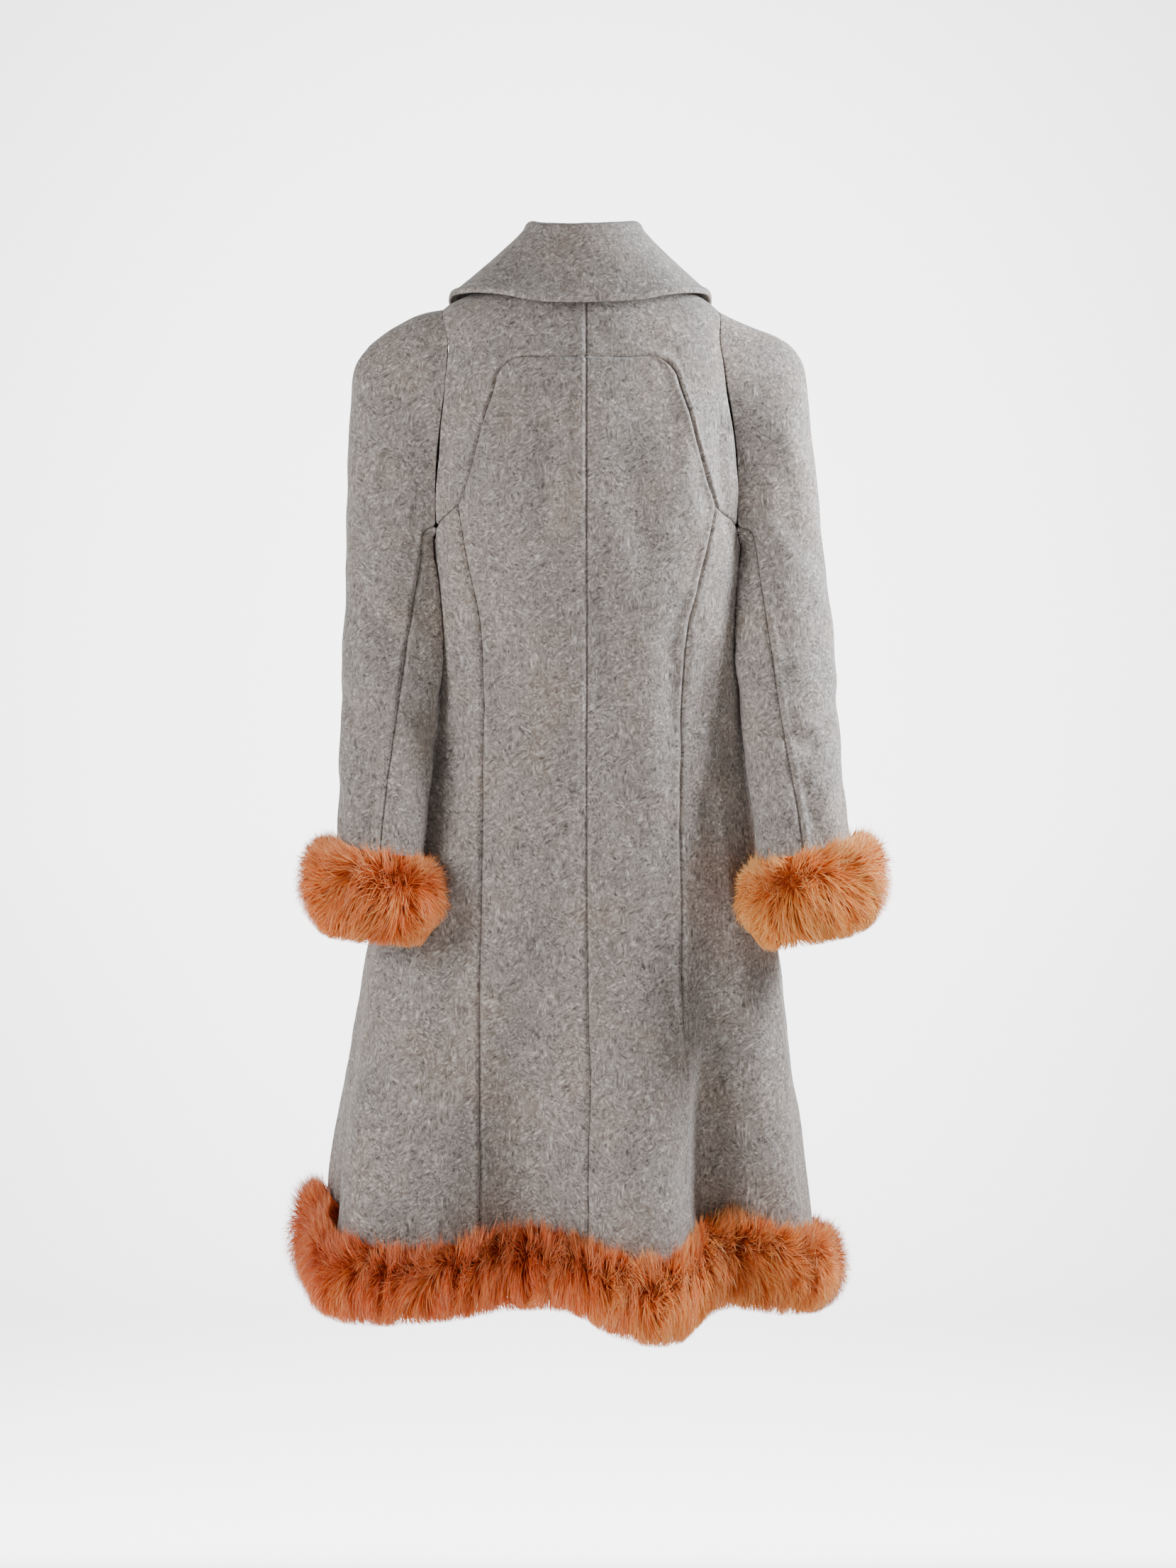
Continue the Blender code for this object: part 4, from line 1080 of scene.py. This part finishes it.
def hairs(name, root, lifted, tip, out, shades):
    """Ribbons of three faces from root to tip on the curve (1 - t)^2 a + 2 t (1 - t) b + t^2 c.

    Each turns its flat side outwards, give or take, and has two faces of four corners and a tip.
    """
    count = len(root)
    pick = np.random.default_rng(count)
    t = np.array(HAIR_AT)[:, None, None]
    line = (1 - t) ** 2 * root + 2 * t * (1 - t) * lifted + t**2 * tip
    side_way = unit(np.cross(tip - root, out))
    side_way = unit(side_way + out * pick.normal(0, TWIST, (count, 1)))
    width = np.array(HAIR_WIDTHS)[:, None, None] * pick.uniform(*WIDTH_SPREAD, (count, 1))
    pairs = np.stack([line[:3] - side_way * width, line[:3] + side_way * width], 1)
    points = np.concatenate([pairs.reshape(6, count, 3), line[3:]]).transpose(1, 0, 2)
    corner = np.array([0, 1, 3, 2, 2, 3, 5, 4, 4, 5, 6])
    loops = (np.arange(count)[:, None] * 7 + corner).ravel()
    starts = (np.arange(count)[:, None] * 11 + np.array([0, 4, 8])).ravel()
    piece = add_mesh(name, points, loops, starts)
    shade = np.repeat(shades, (2, 2, 2, 1), axis=1)
    shade = np.concatenate([shade, np.ones((count, 7, 1))], -1)
    layer = piece.data.color_attributes.new("hair_colour", "FLOAT_COLOR", "POINT")
    layer.data.foreach_set("color", shade.astype(np.float32).ravel())
    wide = int(math.ceil(math.sqrt(count * 1.6)))
    cell = np.stack([np.arange(count) % wide, np.arange(count) // wide], -1)[:, None]
    tall = int(math.ceil(count / wide))
    places = ((cell + np.array(HAIR_IN_CELL)) / [wide, tall]).reshape(-1, 2)[loops]
    layer = piece.data.uv_layers.new(name="OFBake")
    layer.data.foreach_set("uv", places.astype(np.float32).ravel())
    piece.data.materials.append(fox_hair)
    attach(piece, "root")


def hair_shades(station, golden, seed):
    """Colours of each hair at its four rows: from its root's tone over its middle one to its tip's.

    Each hair is its own mix of the dull and the bright tones, between the red and the golden dye.
    Some tips are pale, more of them above the parting, and near the parting a hair is darkened by
    painted shade, as where one looks into the fur's depth.
    """
    pick = np.random.default_rng(seed)
    tones = [[linear(tone) for tone in dye] for dye in (RED_DYE, GOLDEN_DYE)]
    golden = np.clip(golden + pick.normal(0, 0.15, len(station)), 0, 1)[:, None]
    root, dull, bright, tip = (red + (gold - red) * golden for red, gold in zip(*tones))
    mix = np.clip(pick.normal(0.45, 0.4, len(station)), 0, 1)[:, None]
    middle = dull + (bright - dull) * mix
    pale_share = 0.3 + 0.3 * (station < PARTING)
    pale = np.where(pick.uniform(0, 1, len(station)) < pale_share,
                    pick.uniform(0.6, 1, len(station)), pick.uniform(0, 0.35, len(station)))
    end = middle + (tip - middle) * pale[:, None]
    # Painted shade: hairs near the parting are darkened, as where one looks into the fur's depth.
    parting = np.exp(-((station - PARTING) / PARTING_SHADE_ROWS) ** 2) * pick.uniform(0, 1, len(station))
    rows = np.stack([root, root * 0.4 + middle * 0.6, middle * 0.6 + end * 0.4, end], 1)
    return rows * (1 - parting[:, None, None] * PARTING_SHADE)


# The hair has a soft sheen along its length. The fur under it is darker and matt.
fox_hair = new_material("dyed_fox_hair")
tone = node(fox_hair, "VertexColor", layer_name="hair_colour")
finish_material(fox_hair, node(fox_hair, "BsdfPrincipled", {
    "Base Color": tone.outputs["Color"], "Roughness": 0.6, "Specular IOR Level": 0.12,
    "Sheen Weight": 0.08, "Sheen Roughness": 0.5, "Sheen Tint": colour("#FFB888")}))
pelt = new_material("dyed_fox_underfur")
place = node(pelt, "TexCoord").outputs["Object"]
tuft = node(pelt, "TexNoise", {"Vector": place, "Scale": 1 / 0.005, "Detail": 2.0})
under = node(pelt, "ValToRGB", {"Fac": tuft.outputs["Fac"]},
             stops=[(0.35, "#8E3A14"), (0.65, "#C8642A")])
finish_material(pelt, node(pelt, "BsdfPrincipled", {
    "Base Color": under.outputs["Color"], "Roughness": 0.9, "Specular IOR Level": 0.1}))


def closed_roll(name, points, node_name):
    """A closed roll on a grid whose rows and columns both meet themselves, facing outwards."""
    rows, columns = points.shape[:2]
    corner = np.arange(rows * columns).reshape(rows, columns)
    after, beside = np.roll(corner, -1, axis=0), np.roll(corner, -1, axis=1)
    faces = np.stack([corner, beside, np.roll(beside, -1, axis=0), after], -1).reshape(-1, 4)
    flat = points.reshape(-1, 3)
    if np.sum(np.cross(flat[faces[:, 0]], flat[faces[:, 1]]) * flat[faces[:, 2]]) < 0:
        faces = faces[:, ::-1]
    piece = add_mesh(name, flat, faces, np.arange(0, faces.size, 4))
    piece.data.materials.append(pelt)
    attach(piece, "root")
    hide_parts(node_name)


CUFF_TOP = 552.0
CUFF_LEAN = 0.14
CUFF_TAPER, CUFF_MIDDLE, TAPERED_OUT = 0.3, 46.0, 12.0
CUFF_HAIR = [
    # station, root_down, root_out, lifted_down, lifted_out, tip_down, tip_out
    (0, 9, 1.5, 6, 8, 0, 8),
    (1, 14, 6, 10, 14, 3, 15),
    (2, 21, 10.5, 16, 22, 10, 24),
    (3, 29, 12.5, 28, 27, 28, 31),
    (4, 38, 13, 43, 29, 54, 32.5),
    (5, 49, 13, 59, 29, 74, 28),
    (6, 62, 12, 78, 25, 90, 17),
    (7, 74, 10, 94, 15, 98, 6),
    (8, 82, 5, 98, 4, 97, -3),
    (9, 83, -1, 90, -4, 93, -8),
    (10, 78, -5, 84, -8, 88, -9),
]


def cuff_surface(turn, down, side, out):
    """A place in a cuff's fur. On the inner side the fur is less tall, by taper (down - middle)."""
    rise = CUFF_TAPER * (down - CUFF_MIDDLE) * np.clip(out / TAPERED_OUT, 0, 1)
    return sleeve_surface(turn, CUFF_TOP + down, side, out, CUFF_LEAN, rise)


CUFF_HAIRS, CUFF_GOLDEN, CUFF_UNEVEN = 12500, (0.5, 1.1), (0.07, 40, 5)
CUFF_SKIN = (80, 60, 40, 20, 10)
BASE_CLEARANCE, HAIR_CLEARANCE = 1.0, 1.2
# The girth is measured at this depth and this far out, and the hairs face away from the core.
CUFF_STEPS, GIRTH_DEPTH, GIRTH_OUT, CORE_DEPTH, CORE_OUT = 120, 600.0, 15.0, 597.0, -30.0
# The hair spreads from a whorl at this step round each cuff, and round it painted shade darkens the
# hair, as where one looks into the fur's depth.
CUFF_WHORL, WHORL_SHADE, WHORL_RUN, WHORL_ROWS = 38, 1.6, 13, 0.8
for (side, hand), golden in zip(HANDS, CUFF_GOLDEN):
    turns = np.linspace(0, 360, CUFF_STEPS + 1)
    core = [cuff_surface(turns[:-1], row[1], side, row[2]) for row in CUFF_HAIR]
    core += [sleeve_surface(turns[:-1], CUFF_TOP + down, side, SEAT) for down in CUFF_SKIN]
    closed_roll(f"fur_cuff_base_{hand}", clear_of_body(np.array(core), BASE_CLEARANCE),
                f"fur_cuff_{hand}")
    girth = lengths(sleeve_surface(turns, GIRTH_DEPTH, side, GIRTH_OUT))
    run, station, turn, ends = combed(
        CUFF_HAIR, lambda turn, down, out: cuff_surface(turn, down, side, out), turns, girth,
        CUFF_HAIRS, FUR_SEED + side, CUFF_UNEVEN, girth[CUFF_WHORL])
    middle = sleeve_surface(turn, CORE_DEPTH, side, CORE_OUT)
    root, lifted, tip = (clear_of_body(end, HAIR_CLEARANCE) for end in ends)
    shades = hair_shades(station, golden + 0.2 * wave(run + 9 * station, 50, 8), FUR_SEED + 3)
    # Painted shade round the whorl, where the hair spreads and one looks into the fur's depth.
    near = ((run - girth[CUFF_WHORL]) / WHORL_RUN) ** 2 + ((station - PARTING) / WHORL_ROWS) ** 2
    shades = shades * (1 - WHORL_SHADE * np.exp(-near)[:, None, None] * PARTING_SHADE)
    hairs(f"fur_cuff_hair_{hand}", root, lifted, tip, unit(lifted - middle), shades)


# The fur round the hem, the same dyed fox, a little redder. It lies in the folds' troughs and over
# their ridges, and hides the cut edge.

VALLEY_FILL, MOST_OUT = 0.5, 40.0
HEM_HAIR = [
    # station, root_below, root_out, lifted_below, lifted_out, tip_below, tip_out
    (0, -25, 1.5, -29, 9, -37, 11),
    (1, -20, 7, -25, 17, -33, 20),
    (2, -14, 12, -19, 26, -26, 31),
    (3, -6, 15.5, -7, 31, -6, 39),
    (4, 1, 16.5, 5, 35, 16, 42),
    (5, 9, 17, 21, 36, 36, 33),
    (6, 18, 15, 38, 28, 49, 15),
    (7, 25, 10, 49, 15, 51, 2),
    (8, 27, 3, 48, 3, 46, -8),
    (9, 20, -5, 29, -7, 38, -9),
    (10, 8, -7, 16, -10, 22, -11),
]


def hem_place(turn, below, out):
    """A point of the hem's fur: the bare ring, moved out by the folds and the fur's own thickness.

    A trough is filled by half as the fur grows thick, and the height follows the uneven hem.
    """
    base, away = ring(turn, HEM_LEVEL + 0 * turn)
    lift = fold_lift(turn, HEM_LEVEL)
    dip, tallness, thickness = columns_at(HEM_ROUND, (turn + 90) % 360 - 90)
    filled = np.where(lift < 0, lift * (1 - VALLEY_FILL * np.clip(out, 0, None) / MOST_OUT), lift)
    points = base + away * (filled + out * thickness)[..., None]
    points[..., 2] = -HEM_LEVEL - dip - below * tallness
    return points


HEM_GOLDEN = [
    # turn, share of the golden dye
    (-84, 0.3),
    (40, 0.15),
    (85, 0.25),
    (105, 0.6),
    (150, 0.75),
    (276, 0.4),
]
HEM_START, HEM_HAIRS, HEM_UNEVEN = -84.0, 74000, (0.06, 45, 6)
HEM_SKIN, HEM_STEPS, HEM_OUT, HEM_CORE = (1.5, -8, -18), 480, 20.0, (5.0, -12.0)
turns = np.linspace(HEM_START, HEM_START + 360, HEM_STEPS + 1)
core = [hem_place(turns[:-1], row[1], row[2]) for row in HEM_HAIR]
core += [hem_place(turns[:-1], below, SEAT) for below in HEM_SKIN]
closed_roll("fur_hem_base", np.array(core), "fur_hem")
girth = lengths(hem_place(turns, 0.0, HEM_OUT))
run, station, turn, (root, lifted, tip) = combed(HEM_HAIR, hem_place, turns, girth, HEM_HAIRS,
                                                 FUR_SEED + 9, HEM_UNEVEN)
out = unit(lifted - hem_place(turn, *HEM_CORE))
golden = np.interp(turn, *zip(*HEM_GOLDEN)) + 0.25 * wave(run + 9 * station, 70, 11)
shades = hair_shades(station, golden, FUR_SEED + 5)
for number, chosen in enumerate(np.array_split(np.argsort(run), 3), start=1):
    hairs(f"fur_hem_hair_{number}", root[chosen], lifted[chosen], tip[chosen], out[chosen],
          shades[chosen])


# The studio. A pale floor that curves up into a lit backdrop. A large soft light stands behind the
# coat at one side, a small one grazes it from the other, and weak ones fill in from low and in front.
# The camera looks at the coat's back from the height of its waist.

FLOOR_Z, SWEEP_FLAT, SWEEP_BEND, SWEEP_TALL, SWEEP_HALF = -1650.0, 3200.0, 900.0, 5200.0, 5000.0


def backdrop():
    """A pale paper sweep: flat below the coat, then a quarter circle up to a wall behind it."""
    angle = np.linspace(0, np.pi / 2, 25)
    bend_y = -SWEEP_FLAT + SWEEP_BEND - SWEEP_BEND * np.sin(angle)
    bend_z = SWEEP_BEND - SWEEP_BEND * np.cos(angle)
    profile = [(SWEEP_FLAT, 0.0), *zip(bend_y, bend_z), (-SWEEP_FLAT, SWEEP_TALL)]
    points = np.array([[(x, y, z + FLOOR_Z) for y, z in profile] for x in (-SWEEP_HALF, SWEEP_HALF)])
    sweep = grid_mesh("paper_sweep", points, np.zeros(points.shape) + [0, 0, 1.0])
    paper = new_material("pale_backdrop_paper")
    finish_material(paper, node(paper, "BsdfPrincipled", {
        "Base Color": colour("#F1F1F1"), "Roughness": 0.95, "Specular IOR Level": 0.1}))
    sweep.data.materials.append(paper)
    return sweep


def soft_light(name, place, size, power, tint=(1, 1, 1), towards=Vector((0, 0, -0.5))):
    """A square area light at a place in metres, turned towards the middle of the coat or a place."""
    lamp = bpy.data.lights.new(name, "AREA")
    lamp.size, lamp.energy, lamp.color = size, power, tint
    light = add_object(name, lamp)
    light.location = place
    light.visible_camera = False
    light.rotation_euler = (towards - Vector(place)).to_track_quat("-Z", "Y").to_euler()


EYE, AIM = Vector((-0.001, 2.5, -0.38)), Vector((-0.001, 0, -0.4995))
backdrop()
soft_light("key", (2.15, 1.7, 0.1), 1.1, 68)
soft_light("side", (-1.0, 0.1, 0.1), 0.35, 34, (0.9, 0.95, 1.0), Vector((-0.22, 0.0, -0.3)))
soft_light("fill", (-1.0, 2.5, -0.9), 1.4, 15, (1.0, 0.95, 0.9))
soft_light("low_fill", (0.2, 2.4, -1.4), 1.4, 5, (1.0, 0.8, 0.64))
soft_light("front_fill", (0.0, -2.2, 1.4), 2.2, 4)
soft_light("backdrop_light", (0.0, -0.9, 0.1), 3.4, 440, towards=Vector((0, -4, 0.1)))
world = bpy.data.worlds.new("soft_studio_light")
world.use_nodes = True
world.node_tree.nodes["Background"].inputs["Color"].default_value = (1, 1, 1, 1)
world.node_tree.nodes["Background"].inputs["Strength"].default_value = 0.07
bpy.context.scene.world = world
view = bpy.data.cameras.new("photo_view")
view.sensor_fit, view.sensor_height, view.lens = "VERTICAL", 36.0, 56.88
camera = add_object("photo_view", view)
camera.location = EYE
camera.rotation_euler = (AIM - EYE).to_track_quat("-Z", "Y").to_euler()
bpy.context.scene.camera = camera
